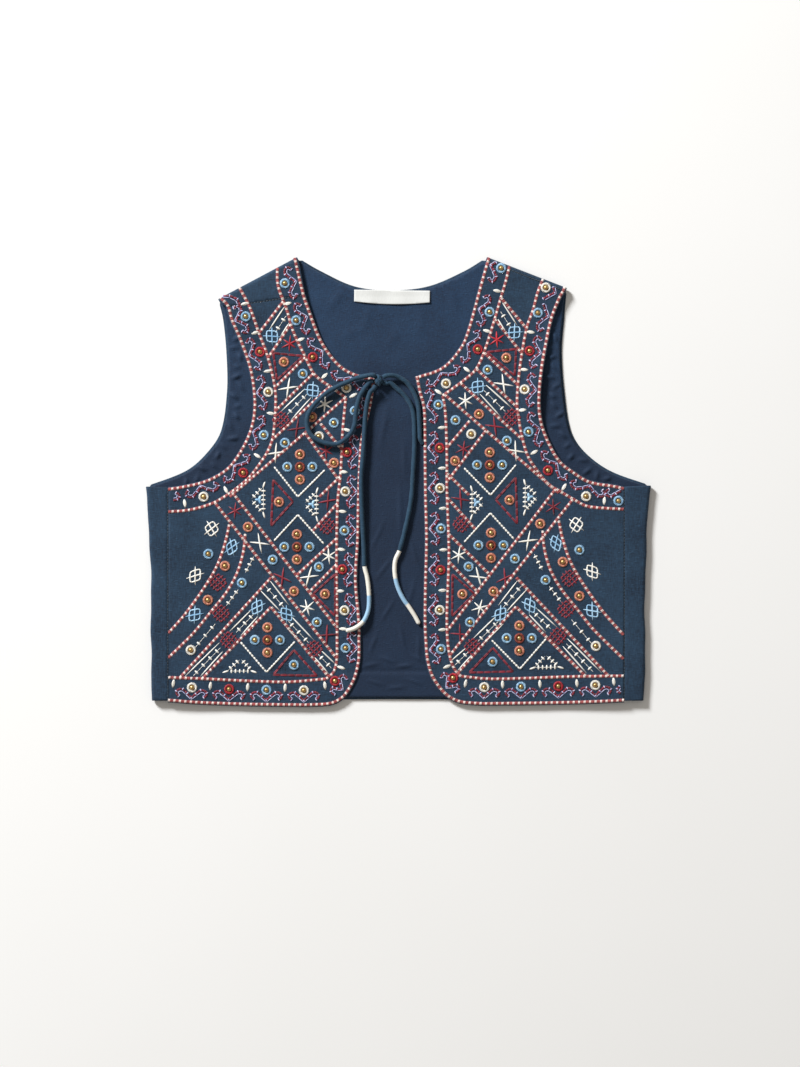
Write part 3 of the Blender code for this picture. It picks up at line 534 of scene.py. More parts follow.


# %% [markdown]
# The cord's finish shows the cloth it is rolled from: fine threads that slant round it, with painted
# shade where they dip, and pale slubs. The tips are wrapped in cotton thread, cream, then sky blue, then cream.
# Both read how far along and how far round the cord a place is, so the pattern bends with the cord.


# %% Finishes of the tie
def cord_finish():
    """The rolled cord's slanting threads, dye patches and slubs."""
    made, tree, shader = new_finish("rolled_cord", 0.85, 0.08)
    along, around = tree.read("along"), tree.read("around")
    slant = tree.add("ShaderNodeCombineXYZ", {}, {0: along * 900.0 + around * 1.6, 1: along * 160.0, 2: around})
    threads = tree.noise(slant, 1.0, 3.0, 0.6)
    place = tree.place()
    patches = tree.noise(place, 90.0)
    slubs = tree.between(tree.noise(place, 700.0), 0.62, 0.72)
    # Painted shade: the threads are darkest where their bump dips.
    cloth = tree.mix(threads, (14, 35, 52), (46, 83, 108))
    cloth = tree.mix(tree.between(patches, 0.35, 0.70) * 0.45, cloth, (38, 69, 93))
    cloth = tree.mix(slubs * 0.35, cloth, (84, 110, 128))
    wire_finish(tree, shader, cloth, threads + slubs * 0.4, 0.8, 0.0004)
    return made


def tip_finish():
    """Cotton thread that is cream, and sky blue where the tip says so."""
    made, tree, shader = new_finish("wrapped_thread", 0.55, 0.3)
    fray = tree.noise(tree.place(), 1400.0)
    cream = tree.mix(fray, (226, 220, 205), (255, 253, 246))
    blue = tree.mix(fray, (118, 165, 205), (176, 213, 240))
    wire_finish(tree, shader, tree.mix(tree.read("blue"), cream, blue), fray, 0.35, 0.0002)
    return made


ROLLED_CORD = cord_finish()
WRAPPED_THREAD = tip_finish()


# %% Cords, tails and tips
def knot_exit(direction):
    """Where a strand that leaves the knot in a direction starts, just clear of it, and its next point."""
    way = unit(np.array(direction))
    reach = np.linalg.norm(np.array(KNOT_HALF) * way)
    start = np.array(KNOT_CENTRE) + way * (reach + GAP)
    return [tuple(start), tuple(start + way * KNOT_LEAVE)]


def uneven(run, seed):
    """A slow wobble from -1 to 1 along a hand-made piece."""
    waves = ((170.0, 0.0), (410.0, 1.7), (930.0, 4.1))
    return sum(math.sin(run * rate + shift + seed * 2.3) for rate, shift in waves) / len(waves)


def make_cord(name, path, seed):
    """A rolled cord: a tube with a soft seam line and small dents."""

    def radius_at(run, angles):
        wobble = 1.0 + 0.045 * uneven(run, seed)
        seam = 0.05 * np.cos(angles - run * 22.0 - seed) + 0.03 * np.cos(2.0 * angles + run * 400.0)
        return CORD_DIAMETER / 2.0 * (wobble + seam)

    points, faces, along, around = sweep(path, CORD_SIDES, radius_at)
    made = link_mesh(name, points, faces, ROLLED_CORD)
    add_values(made, "along", along)
    add_values(made, "around", around)
    return made


def make_tip(name, path, blue_from, blue_to):
    """A tip wrapped in thread: each turn of the thread is a small ridge."""
    length = path_length(path)

    def radius_at(run, angles):
        turn = 2.0 * math.pi * run / WRAP_PITCH + angles
        ridge = 0.93 + 0.09 * np.sqrt(np.clip(0.5 + 0.5 * np.cos(turn), 0.0, 1.0))
        end = max(0.0, 1.0 - (length - run) / TIP_ROUNDING)
        rounding = math.sqrt(max(0.02, 1.0 - end * end))
        return TIP_DIAMETER / 2.0 * ridge * rounding * (1.0 + 0.03 * uneven(run, 5))

    points, faces, along, _ = sweep(path, TIP_SIDES, radius_at)
    made = link_mesh(name, points, faces, WRAPPED_THREAD)
    inside = np.clip((along - blue_from) / 0.0015, 0, 1) * np.clip((blue_to - along) / 0.0015, 0, 1)
    add_values(made, "blue", inside)
    return made


def make_tail(name, tip_name, leaves, route, tip_length, seed, blue):
    """A tail and its wrapped tip, parted where the solid model parts them, and the tail's path."""
    rows = knot_exit(leaves) + route
    coarse = smooth_path(rows, CORD_STEP)
    runs = runs_along(coarse)
    cut = coarse[int(np.argmax(runs[-1] - runs <= tip_length))]
    fine = smooth_path(rows, FINE_STEP)
    middle = int(np.argmin(np.linalg.norm(fine - cut, axis=1)))
    along = unit(fine[middle + 1] - fine[middle - 1])
    tail_path = np.vstack([fine[:middle], fine[middle] - along * GAP / 2])
    tip_path = np.vstack([fine[middle] + along * GAP / 2, fine[middle + 1:]])
    tip_fine = walk(tip_path, np.arange(0.0, path_length(tip_path), WRAP_STEP))
    tail = make_cord(name, tail_path, seed)
    tip = make_tip(tip_name, tip_fine, *blue)
    return tail, tip, tail_path


tail_right, tip_right, tail_right_path = make_tail(
    "tail_right", "tip_right", TAIL_RIGHT_LEAVES, TAIL_RIGHT_ROUTE, TIP_RIGHT_LENGTH, 1, (0.028, 0.056))
tail_left, tip_left, tail_left_path = make_tail(
    "tail_left", "tip_left", TAIL_LEFT_LEAVES, TAIL_LEFT_ROUTE, TIP_LEFT_LENGTH, 2, (0.027, 0.056))
loop_path = smooth_path(knot_exit(LOOP_LEAVES) + LOOP_ROUTE + knot_exit(LOOP_RETURNS)[::-1], FINE_STEP)
loop = make_cord("bow_loop", loop_path, 3)
strand_path = smooth_path(knot_exit(STRAND_LEFT_LEAVES) + STRAND_LEFT_ROUTE, FINE_STEP)
strand_left = make_cord("strand_left", strand_path, 4)
print("cords: tails", round(path_length(tail_right_path), 3), round(path_length(tail_left_path), 3),
      "loop", round(path_length(loop_path), 3), "strand", round(path_length(strand_path), 3))


# %% [markdown]
# The knot is one strand wrapped twice over the others, pulled tight. A lumpy core carries two turns of
# cord that lie slantwise over it, with dents between them.


# %% The knot
KNOT_COLUMNS = 64
KNOT_ROWS = 40
TURN_PITCH = 0.0046
TURN_DENT = 0.17


def make_knot():
    """A lump with the two turns of the wrapping strand raised on it."""
    half, centre = np.array(KNOT_HALF), np.array(KNOT_CENTRE)
    points = []
    for row in range(KNOT_ROWS + 1):
        polar = math.pi * row / KNOT_ROWS
        for column in range(KNOT_COLUMNS):
            turn = 2.0 * math.pi * column / KNOT_COLUMNS
            girth = math.sin(polar)
            way = np.array((math.cos(turn) * girth, math.sin(turn) * girth, math.cos(polar)))
            across = 0.80 * way[0] * half[0] + 0.60 * way[1] * half[1]
            dent = (0.5 - 0.5 * math.cos(2.0 * math.pi * (across / TURN_PITCH + 0.5))) ** 2
            lift = (1.0 - TURN_DENT * dent) * (1.0 + 0.03 * math.sin(5.0 * turn + 2.0 * polar))
            points.append(centre + half * way * lift)
    faces = [(a, d, c, b) for a, b, c, d in ring_faces(KNOT_ROWS + 1, KNOT_COLUMNS)]
    made = link_mesh("bow_knot", points, faces, ROLLED_CORD)
    offsets = np.array(points) - centre
    add_values(made, "along", offsets @ np.array((-0.60, 0.80, 0.3)))
    add_values(made, "around", np.arctan2(offsets[:, 2], offsets @ np.array((0.80, 0.60, 0.0))))
    return made


knot = make_knot()
weld = knot.modifiers.new("weld", "WELD")
weld.merge_threshold = 0.00001
print("knot made")

# %% [markdown]
# ## Cloth
# Each panel is a thin closed wall: an upper and a lower sheet of small triangles over the same flat
# pattern, joined by a rounded rim. What a panel does in space, such as turning over at a fold or
# settling from a seam onto the lining, is a function of the flat pattern, so both sheets follow it.
# Creases are listed one by one as soft ridges, uneven in size and turn, as handled cotton has.


# %% Soft creases
RUMPLE = 0.00016


def fade(share):
    """A soft fall from 1 at 0 to 0 at 1."""
    share = np.clip(share, 0.0, 1.0)
    return (1.0 - share) ** 2 * (1.0 + 2.0 * share)


def rise_of(ridges, points):
    """Height of a list of ridges at each point."""
    total = np.zeros(len(points))
    for ridge in ridges:
        offset = points - np.array((ridge.across, ridge.up))
        along = offset[:, 0] * math.cos(ridge.turn) + offset[:, 1] * math.sin(ridge.turn)
        aside = offset[:, 1] * math.cos(ridge.turn) - offset[:, 0] * math.sin(ridge.turn)
        aside = aside + 0.25 * ridge.half_width * np.sin(along / ridge.half_length * 2.6)
        total += ridge.rise * fade(np.abs(along) / ridge.half_length) * fade(np.abs(aside) / ridge.half_width)
    return total


def rumple(points, seed):
    """A faint unevenness all over, from -1 to 1, made of crossing waves."""
    total = np.zeros(len(points))
    for number in range(6):
        turn = seed * 1.3 + number * 1.07
        rate = 2.0 * math.pi / (0.019 + 0.006 * number)
        along = points[:, 0] * math.cos(turn) + points[:, 1] * math.sin(turn)
        total += np.sin(along * rate + number * 2.1 + seed)
    return total / 4.0


def ridge(across, up, degrees, length, width, rise):
    """A ridge from millimetres: its middle, its turn from +X, its length, its width and its rise."""
    return Ridge(across / 1000, up / 1000, math.radians(degrees), length / 2000, width / 2000, rise / 1000)


# %% Triangles inside an outline
RIM_ROUNDING = 0.38


def within_outline(faces, order):
    """The triangles that the outline encloses, found by spreading inwards from its sides."""
    beyond = {}
    for face in faces:
        for index in range(3):
            beyond[(face[index], face[(index + 1) % 3])] = face
    sides = set(zip(order, order[1:] + order[:1]))
    waiting = [tuple(beyond[side]) for side in sides if side in beyond]
    kept = set()
    while waiting:
        face = waiting.pop()
        if face in kept:
            continue
        kept.add(face)
        for index in range(3):
            start, end = face[index], face[(index + 1) % 3]
            if (start, end) not in sides and (end, start) in beyond:
                waiting.append(tuple(beyond[(end, start)]))
    return sorted(kept)


def outline_area(outline):
    """Area inside a closed outline, which counts as negative where it runs clockwise."""
    after = np.roll(outline, -1, axis=0)
    return (outline[:, 0] * after[:, 1] - after[:, 0] * outline[:, 1]).sum() / 2.0


def anticlockwise(outline, apart=0.0004):
    """The outline without points closer than apart, running anticlockwise."""
    kept = [outline[0]]
    for point in outline[1:]:
        if np.linalg.norm(point - kept[-1]) > apart:
            kept.append(point)
    if np.linalg.norm(kept[0] - kept[-1]) < apart:
        kept.pop()
    kept = np.array(kept)
    return kept if outline_area(kept) > 0 else kept[::-1]


def staggered(outline, spacing, margin):
    """Rows of points inside an outline, each row shifted by half a space."""
    low, high = outline.min(axis=0), outline.max(axis=0)
    rows = []
    for number, up in enumerate(np.arange(low[1], high[1], spacing * 0.87)):
        across = np.arange(low[0] + (number % 2) * spacing / 2, high[0], spacing)
        rows.append(np.stack([across, np.full(len(across), up)], axis=1))
    points = np.vstack(rows)
    points = points[is_inside(points, outline)]
    return points[distance_to(points, closed(outline)) > margin]


def inward_normals(outline):
    """The direction into an anticlockwise outline at each of its points."""
    leaving = unit(np.roll(outline, -1, axis=0) - outline)
    arriving = unit(outline - np.roll(outline, 1, axis=0))
    return unit(quarter_turned(leaving + arriving))


def shell(name, outline, inner, place, wall, finish):
    """A thin closed wall over a flat pattern. place takes flat points and a depth, and gives places."""
    count = len(outline)
    sides = [(index, (index + 1) % count) for index in range(count)]
    corners = [Vector(point) for point in np.vstack([outline, inner])]
    flat, _, faces, sources, _, _ = delaunay_2d_cdt(corners, sides, [], 1, 1e-7, True)
    order = [0] * count
    for number, source in enumerate(sources):
        for index in source:
            if index < count:
                order[index] = number
    faces = np.array(within_outline([tuple(face) for face in faces], order))
    flat = np.array([tuple(point) for point in flat])
    used, faces = np.unique(faces, return_inverse=True)
    faces = faces.reshape(-1, 3)
    renumber = {old: new for new, old in enumerate(used)}
    order = np.array([renumber[number] for number in order])
    flat = flat[used]
    rim = flat[order].copy()
    flat[order] += inward_normals(rim) * wall * RIM_ROUNDING
    total = len(flat)
    points = np.vstack([place(flat, 0.0), place(flat, wall), place(rim, wall / 2.0)])
    lower, upper, middle = order, order + total, 2 * total + np.arange(count)
    after = np.roll(np.arange(count), -1)
    rings = [faces[:, ::-1].tolist(), (faces + total).tolist()]
    rings.append(np.stack([lower, lower[after], middle[after], middle], axis=1).tolist())
    rings.append(np.stack([middle, middle[after], upper[after], upper], axis=1).tolist())
    return link_mesh(name, points, [face for ring in rings for face in ring], finish)


# %% [markdown]
# The outer cloth is a hand-woven cotton, dyed dark blue-green. Its threads are uneven, so short pale
# and dark flecks run both ways, and the dye is a little patchy. The lining is a finer, bluer cotton.
# The weave is made of two noises, each stretched along one way of the threads.


# %% Finishes of the cloth
def woven_finish(name, dark, middle, pale, thread, patch, roughness, depth=0.0):
    """Woven cotton: flecks along both ways of its threads, over patchy dye. thread is a thread's width,
    and depth is how much painted shade darkens the cloth below the neck, where the fronts shade it."""
    made, tree, shader = new_finish(name, roughness, 0.08)
    place = tree.place()
    rate = 1.0 / thread
    warp = tree.noise(tree.stretched(place, rate, rate * 0.16, rate * 0.16), 0.8, 2.0, 0.55)
    weft = tree.noise(tree.stretched(place, rate * 0.16, rate, rate * 0.5), 0.8, 2.0, 0.55)
    grain = warp * 0.5 + weft * 0.5
    dye = tree.noise(place, patch, 3.0, 0.55)
    fleck = tree.between(tree.noise(tree.stretched(place, rate * 0.35, rate, rate), 0.45, 1.0), 0.63, 0.74)
    cloth = tree.mix(tree.between(grain, 0.36, 0.64), dark, middle)
    cloth = tree.mix(tree.between(dye, 0.3, 0.75) * 0.35, cloth, pale)
    cloth = tree.mix(fleck * 0.30, cloth, pale)
    # Painted shade: the cloth darkens below the neck, fading in from 0.18 m down to 0.06 m.
    if depth > 0.0:
        height = tree.more(tree.add("ShaderNodeSeparateXYZ", {}, {0: place}), "Y")
        kept = tree.between(height + dye * 0.05, 0.06, 0.18)
        cloth = tree.mix((1.0 - kept) * depth, cloth, dark)
    wire_finish(tree, shader, cloth, grain + fleck * 0.5, 0.7, 0.0005)
    return made


OUTER_CLOTH = woven_finish("outer_cotton", (13, 29, 46), (35, 61, 85), (56, 86, 113), 0.0007, 26.0, 0.88)
# The lining's last value, 0.6, is painted shade below the neck, standing in for the shade under and between the
# fronts.
LINING_CLOTH = woven_finish("lining_cotton", (8, 30, 54), (24, 55, 85), (40, 73, 107), 0.0005, 20.0, 0.82, 0.6)
print("cloth finishes made")

# %% [markdown]
# ## The back
# The back is one panel. It lies flat, and at the sides and shoulders it turns over in a soft fold and
# comes a little way onto the front, where the seams are.


# %% Where the back's folds lie
SIDES_TOP = 0.02
FOLD_SPACING = 0.0035
FOLD_COLUMNS = 11


def side_line(up, side):
    """Where a side's fold begins, measured from the middle, with the slight waver of a soft fold."""
    reach, levels = np.array(SIDE_FOLD)[::-1].T
    up = np.asarray(up)
    waver = 0.0004 * np.sin(up * 74.0 + side) + 0.0003 * np.sin(up * 163.0)
    return np.interp(up, levels, reach) - FOLD_RADIUS + waver


def shoulder_line(side):
    """Start, direction and outward normal of the line where a shoulder's fold begins."""
    shoulder = SHOULDERS[side]
    start = np.array(shoulder.neck)
    along = unit(np.array(shoulder.tip) - start)
    outward = quarter_turned(along)
    if outward[1] < 0:
        outward = -outward
    return start - outward * FOLD_RADIUS, along, outward


def shoulder_span(side):
    """Length of a shoulder's fold."""
    return np.linalg.norm(np.array(SHOULDERS[side].tip) - np.array(SHOULDERS[side].neck))


def past_fold(distance, depth):
    """How far out and how high points lie, past a fold's line and at a depth in the wall."""
    reach = FOLD_RADIUS - depth
    angle = np.clip(distance / FOLD_RADIUS, 0.0, math.pi)
    out = np.where(distance <= 0.0, distance, reach * np.sin(angle) + np.minimum(0.0, FOLD_LENGTH - distance))
    return out, FOLD_RADIUS - reach * np.cos(angle)


def back_place(points, depth):
    """Where points of the back's flat pattern lie once its sides and shoulders are folded."""
    placed = np.zeros((len(points), 3))
    side = np.where(points[:, 0] < 0, -1.0, 1.0)
    low = points[:, 1] < SIDES_TOP
    line = np.where(side < 0, side_line(points[:, 1], -1), side_line(points[:, 1], 1))
    out, height = past_fold(np.abs(points[:, 0]) - line, depth)
    placed[:, 0] = side * (line + out)
    placed[:, 1] = points[:, 1]
    placed[:, 2] = height
    for which in (-1, 1):
        start, _, outward = shoulder_line(which)
        past = (points - start) @ outward
        out, height = past_fold(past, depth)
        moved = points + outward * (out - past)[:, None]
        mine = ~low & (side == which)
        placed[mine] = np.column_stack([moved, height])[mine]
    return placed


# %% The back's flat pattern
def past_lines(points, distance):
    """Which points of the back's pattern lie further than a distance past the line where a fold begins."""
    past = np.zeros(len(points), bool)
    for side in (-1, 1):
        mine = points[:, 0] * side >= 0
        past_side = np.abs(points[:, 0]) - side_line(points[:, 1], side) > distance
        start, _, outward = shoulder_line(side)
        past_shoulder = (points - start) @ outward > distance
        past |= mine & ((points[:, 1] < SIDES_TOP) & past_side | past_shoulder)
    return past


def before_folds(points, margin):
    """The points that lie on the back's flat part, by a margin."""
    return points[~past_lines(points, -margin)]


def rows_between(first, last, count):
    """Evenly spaced points from first up to, but not including, last."""
    share = np.arange(count)[:, None] / count
    return np.array(first) * (1 - share) + np.array(last) * share


def side_strip(side):
    """The flat outline of one side's strip, from the hem up to the underarm."""
    hem_line = np.array((side * float(side_line(SIDE_HEM, side)), SIDE_HEM))
    hem_over = hem_line + (side * FOLD_LENGTH, 0.0)
    levels = np.linspace(SIDE_HEM, SIDE_TOP_AT_SEAM[side], 60)
    line = side_line(levels, side)
    seam = SIDE_SEAM[side] + GAP / 2
    up_seam = np.column_stack([side * (2 * line + FOLD_LENGTH - seam), levels])
    top = UNDERARM_UP[side]
    top_line = np.array((side * float(side_line(top, side)), top))
    top_over = top_line + (side * FOLD_LENGTH, 0.0)
    up_to = rows_between(top_over, top_line, 12)
    return np.vstack([rows_between(hem_line, hem_over, 12), [hem_over], up_seam, up_to, [top_line]])


def shoulder_strip(side):
    """The flat outline of one shoulder's strip, from the armhole to the neck."""
    start, _, outward = shoulder_line(side)
    shoulder = SHOULDERS[side]
    tip_line = np.array(shoulder.tip) - outward * FOLD_RADIUS
    tip_over, neck_over = tip_line + outward * FOLD_LENGTH, start + outward * FOLD_LENGTH
    ends = []
    for seam_end in (shoulder.seam_tip, shoulder.seam_neck):
        at = np.array(seam_end) + (0.0, GAP)
        ends.append(at + outward * (FOLD_LENGTH - 2.0 * ((at - start) @ outward)))
    seam = rows_between(ends[0], ends[1], 30)
    back = rows_between(neck_over, start, 12)
    return np.vstack([rows_between(tip_line, tip_over, 12), [tip_over], seam, [ends[1]], back, [start]])


def back_outline():
    """The flat pattern of the back, with what is turned over to the front."""
    neck = smooth_path(BACK_NECK, 0.003)[1:-1]
    hem = smooth_path(BACK_HEM, 0.004)
    arms = {side: smooth_path(BACK_ARMHOLE[side], 0.003)[1:-1] for side in (-1, 1)}
    strips = [side_strip(1), shoulder_strip(1), shoulder_strip(-1)[::-1], side_strip(-1)[::-1]]
    rows = []
    for edge, strip in zip((hem, arms[1][::-1], neck[::-1], arms[-1]), strips):
        rows += [before_folds(edge, 0.001), strip]
    return anticlockwise(np.vstack(rows))


def fold_points(outline):
    """Close rows of points across each fold, which let the wall bend smoothly."""
    rows = []
    past = np.linspace(0.0, FOLD_LENGTH, FOLD_COLUMNS)
    for side in (-1, 1):
        for up in np.arange(SIDE_HEM + 0.003, UNDERARM_UP[side] - 0.002, FOLD_SPACING):
            rows.append(np.column_stack([side * (side_line(up, side) + past), np.full(FOLD_COLUMNS, up)]))
        start, along, outward = shoulder_line(side)
        for run in np.arange(0.003, shoulder_span(side) - 0.002, FOLD_SPACING):
            rows.append(start + along * run + outward * past[:, None])
    points = np.vstack(rows)
    return points[is_inside(points, outline) & (distance_to(points, closed(outline)) > 0.0007)]


# %% Make the back
def make_back():
    """The back in outer cloth, flat on the table and turned over at the sides and shoulders."""
    outline = back_outline()
    wide = before_folds(staggered(outline, 0.009, 0.004), 0.005)
    close = staggered(outline, 0.003, 0.0012)
    turned_over = close[past_lines(close, FOLD_LENGTH + 0.0012)]
    inner = np.vstack([wide, turned_over, fold_points(outline)])
    return shell("back_cloth", outline, inner, back_place, OUTER_WALL, OUTER_CLOTH), outline


back_cloth, back_pattern = make_back()
print("back:", len(back_cloth.data.polygons), "faces")

# %% [markdown]
# ## The lining of the back
# The lining shows in the neck, in the armholes and between the fronts. Handling has left soft creases,
# and a hem facing crosses it near the bottom, with a few wrinkles above and below. The table lists
# them one by one: each row has a crease's middle in millimetres, its turn in degrees, its length, width and
# rise. Along the armholes the edge was turned in and sewn, so small gathers follow it by a rule.

# %% Creases of the lining
LINING_CREASES = [ridge(*row) for row in (
    (-60, 178, 60, 40, 12, 0.7), (54, 176, 118, 42, 13, 0.7), (-30, 160, 82, 44, 11, 0.5),
    (22, 154, 96, 46, 12, 0.5), (-6, 138, 70, 40, 13, 0.5), (-44, 146, 30, 36, 12, 0.6),
    (44, 142, 150, 34, 12, 0.6), (-14, 52, 84, 60, 9, 0.6), (6, 24, 96, 50, 7, 0.5),
    (2, -28, 94, 80, 8, 0.6), (-20, -52, 70, 46, 6, 0.6), (-14, -84, 58, 40, 6, 0.7),
    (16, -70, 112, 44, 6, 0.6), (12, -110, 78, 50, 7, 0.6), (-10, -124, 64, 38, 6, 0.7),
    (4, -150, 108, 34, 6, 0.8), (-24, -156, 76, 30, 6, 0.8), (20, -160, 96, 34, 6, 0.8),
    (-26, -177, 16, 22, 5, 1.0), (-10, -172, -18, 22, 5, 1.0), (6, -178, 12, 24, 5, 1.1),
    (20, -171, -24, 20, 5, 1.0), (-22, -194, -12, 24, 5, 0.9), (-2, -199, 10, 24, 5, 0.9),
    (16, -193, -16, 22, 5, 0.9),
)]
HEM_FACING = -0.1848
FACING_STEP = 0.0005
PUCKER_PITCH = 0.0092
PUCKER_ENDS = 0.030
PUCKER_LENGTH = 13.0
PUCKER_WIDTH = 6.4
PUCKER_RISE = 1.6


# %% Make the lining
def edge_puckers():
    """Small gathers where the lining's armhole edges were turned in and sewn, each a little different."""
    made = []
    for side in (-1, 1):
        path = smooth_path(BACK_ARMHOLE[side], 0.001)
        runs = np.arange(PUCKER_ENDS, path_length(path) - PUCKER_ENDS, PUCKER_PITCH)
        for number, run in enumerate(runs):
            here, after = walk(path, [run, run + 0.002])
            inward = side * quarter_turned(unit(after - here))
            inward = inward if inward[0] * side < 0 or inward[1] < -0.6 else -inward
            spot = (here + inward * (0.0105 + 0.0034 * math.sin(number * 2.4))) * 1000
            lean = math.degrees(math.atan2(inward[1], inward[0])) + 46.0 * math.sin(number * 1.9 + side)
            length = PUCKER_LENGTH + 2.5 * math.sin(number * 1.3)
            rise = PUCKER_RISE + 0.5 * math.sin(number * 3.1 + side)
            made.append(ridge(spot[0], spot[1], lean, length, PUCKER_WIDTH, rise))
    return made


LINING_PUCKERS = edge_puckers()


def lining_relief(points):
    """Height of the lining's creases and gathers, with a step where the hem facing ends."""
    above = points[:, 1] - HEM_FACING
    facing = FACING_STEP * np.clip(-above / 0.0012, 0.0, 1.0)
    facing = facing - 0.0004 * fade(np.abs(above - 0.002) / 0.003)
    total = 0.0006 + rise_of(LINING_CREASES, points) + RUMPLE * rumple(points, 3.0) + facing
    total += rise_of(LINING_PUCKERS, points)
    return np.maximum(total, 0.0)


def lining_place(points, depth):
    """Where points of the lining lie."""
    return np.column_stack([points, LINING_BASE + lining_relief(points) + depth])


def lining_outline():
    """The lining's edge: inside the outer cloth's neck, armholes and hem, and up to the folds."""
    neck = smooth_path(BACK_NECK, 0.003)[1:-1]
    hem = smooth_path(BACK_HEM, 0.004)
    rows = [before_folds(hem, 0.0)]
    for side in (1, -1):
        levels = np.linspace(SIDE_HEM, UNDERARM_UP[1], 50)
        upward = np.column_stack([side * side_line(levels, side), levels])
        arm = smooth_path(BACK_ARMHOLE[side], 0.003)[1:-1]
        arm = before_folds(arm[::-1] if side > 0 else arm, 0.001)
        start, along, _ = shoulder_line(side)
        across = rows_between(start + along * shoulder_span(side), start, 20)
        if side > 0:
            rows += [upward, arm, across, before_folds(neck[::-1], 0.001)]
        else:
            rows += [across[::-1], arm, upward[::-1]]
    outline = anticlockwise(np.vstack(rows), 0.0016)
    moved = outline + inward_normals(outline) * LINING_INSET
    kept = is_inside(moved, outline) & (distance_to(moved, closed(outline)) > 0.9 * LINING_INSET)
    return anticlockwise(moved[kept], 0.0012)


def is_shown(points, margin):
    """Which points of the lining are near an armhole or in the opening, where its small creases show."""
    near = np.zeros(len(points), bool)
    for side in (-1, 1):
        near |= distance_to(points, np.array(BACK_ARMHOLE[side])) < 0.024 - margin
    across, up = points.T
    return near | (across > -0.042 + margin) & (across < 0.030 - margin) & (up < 0.10 - margin)


def make_lining():
    """The back's lining, with smaller triangles where it shows."""
    outline = lining_outline()
    coarse, fine = staggered(outline, 0.0036, 0.0014), staggered(outline, 0.0017, 0.0009)
    inner = np.vstack([coarse[~is_shown(coarse, 0.0)], fine[is_shown(fine, 0.0006)]])
    return shell("lining_cloth", outline, inner, lining_place, LINING_WALL, LINING_CLOTH), outline


lining_cloth, lining_pattern = make_lining()
print("lining:", len(lining_cloth.data.polygons), "faces")

# %% [markdown]
# ## The fronts
# Each front hangs from its side seam and shoulder seam and settles onto the lining. Dense embroidery
# stiffens it, so its creases are broad and low. Only beside the left armhole does it stand up, in the
# table's last two rows, and shade the lining there.

# %% Creases of the fronts
FRONT_CREASES = [ridge(*row) for row in (
    (-178, -45, -62, 120, 32, 0.8), (-120, -150, 84, 110, 36, 0.6), (-125, 20, -40, 80, 28, 0.6),
    (-88, 130, 68, 76, 24, 0.5), (-196, -120, 80, 120, 26, 0.8), (-205, -30, -20, 50, 16, 0.7),
    (-150, -100, 50, 90, 26, 0.6), (-84, -40, 96, 90, 24, 0.5), (-160, -190, 4, 90, 18, 0.6),
    (-128, 140, 104, 60, 16, 0.5), (-108, 86, 40, 60, 18, 0.6), (-72, -150, 70, 70, 18, 0.5),
    (176, -52, 58, 116, 32, 0.8), (112, -160, 96, 100, 36, 0.7), (120, 12, 44, 84, 28, 0.6),
    (92, 140, 112, 72, 24, 0.5), (192, -130, 98, 120, 24, 0.9), (202, -28, 22, 50, 16, 0.7),
    (140, -96, 128, 90, 26, 0.7), (78, -50, 84, 90, 22, 0.5), (150, -188, -6, 90, 18, 0.6),
    (122, 136, 76, 60, 16, 0.5), (100, 84, 140, 60, 18, 0.6), (66, -146, 108, 70, 18, 0.5),
    (146, 108, 80, 190, 46, 4.6), (166, 24, -42, 80, 30, 2.8),
)]


# %% How the fronts lie
def seam_distance(side, points):
    """Distance from points to the shoulder seam of a front."""
    shoulder = SHOULDERS[side]
    start = np.array(shoulder.seam_neck)
    span = np.array(shoulder.seam_tip) - start
    offset = points - start
    return np.abs(offset[:, 0] * span[1] - offset[:, 1] * span[0]) / np.linalg.norm(span)


def front_under(side, points):
    """Height of a front's underside, which falls from its seams onto the lining."""
    held = np.maximum(fade((SIDE_SEAM[side] - np.abs(points[:, 0])) / SIDE_SETTLE),
                      fade(seam_distance(side, points) / SHOULDER_SETTLE))
    relief = np.maximum(0.0, rise_of(FRONT_CREASES, points) + RUMPLE * rumple(points, 1.0 + side))
    base = FRONT_BASE + np.minimum(lining_relief(points), 0.0007)
    return base + (FRONT_AT_SEAM - base) * held + relief * (1.0 - held)


def front_place(side):
    """Where points of a front lie, as a function for the shell."""
    return lambda points, depth: np.column_stack([points, front_under(side, points) + depth])


def front_outline(side):
    """The closed edge of one front."""
    edges = (FRONT_NECK, FRONT_CENTRE, FRONT_HEM, FRONT_ARMHOLE)
    outline = np.vstack([smooth_path(edge[side], 0.0022) for edge in edges])
    seam = SIDE_SEAM[side] - GAP / 2
    outline[:, 0] = side * np.minimum(np.abs(outline[:, 0]), seam)
    return anticlockwise(outline, 0.0009)


def make_front(side, name):
    """One front: a wall that settles onto the lining."""
    outline = front_outline(side)
    inner = staggered(outline, 0.0026, 0.0013)
    return shell(name, outline, inner, front_place(side), FRONT_WALL, OUTER_CLOTH), outline


fronts, front_patterns = {}, {}
for side, name in ((-1, "right_cloth"), (1, "left_cloth")):
    fronts[side], front_patterns[side] = make_front(side, name)
    print(name, len(fronts[side].data.polygons), "faces")

# %% [markdown]
# ## The label
# A bare strip of pale ribbon is sewn into the back of the neck. Its lower edge sags a little.

# %% Make the label
LABEL_LENGTH = 0.0735
LABEL_DEPTH = 0.0115
LABEL_SAG = 0.0022
LABEL_CENTRE = np.array((-0.0058, 0.1808))
LABEL_TURN = math.radians(-0.8)


def ribbon_finish():
    """Pale satin ribbon with its fine ribs across."""
    made, tree, shader = new_finish("pale_ribbon", 0.6, 0.2)
    place = tree.place()
    ribs = tree.noise(tree.stretched(place, 2600.0, 300.0, 300.0), 1.0)
    cloth = tree.mix(ribs, (214, 216, 214), (242, 243, 241))
    cloth = tree.mix(tree.noise(place, 120.0) * 0.3, cloth, (206, 208, 206))
    wire_finish(tree, shader, cloth, ribs, 0.4, 0.0002)
    return made


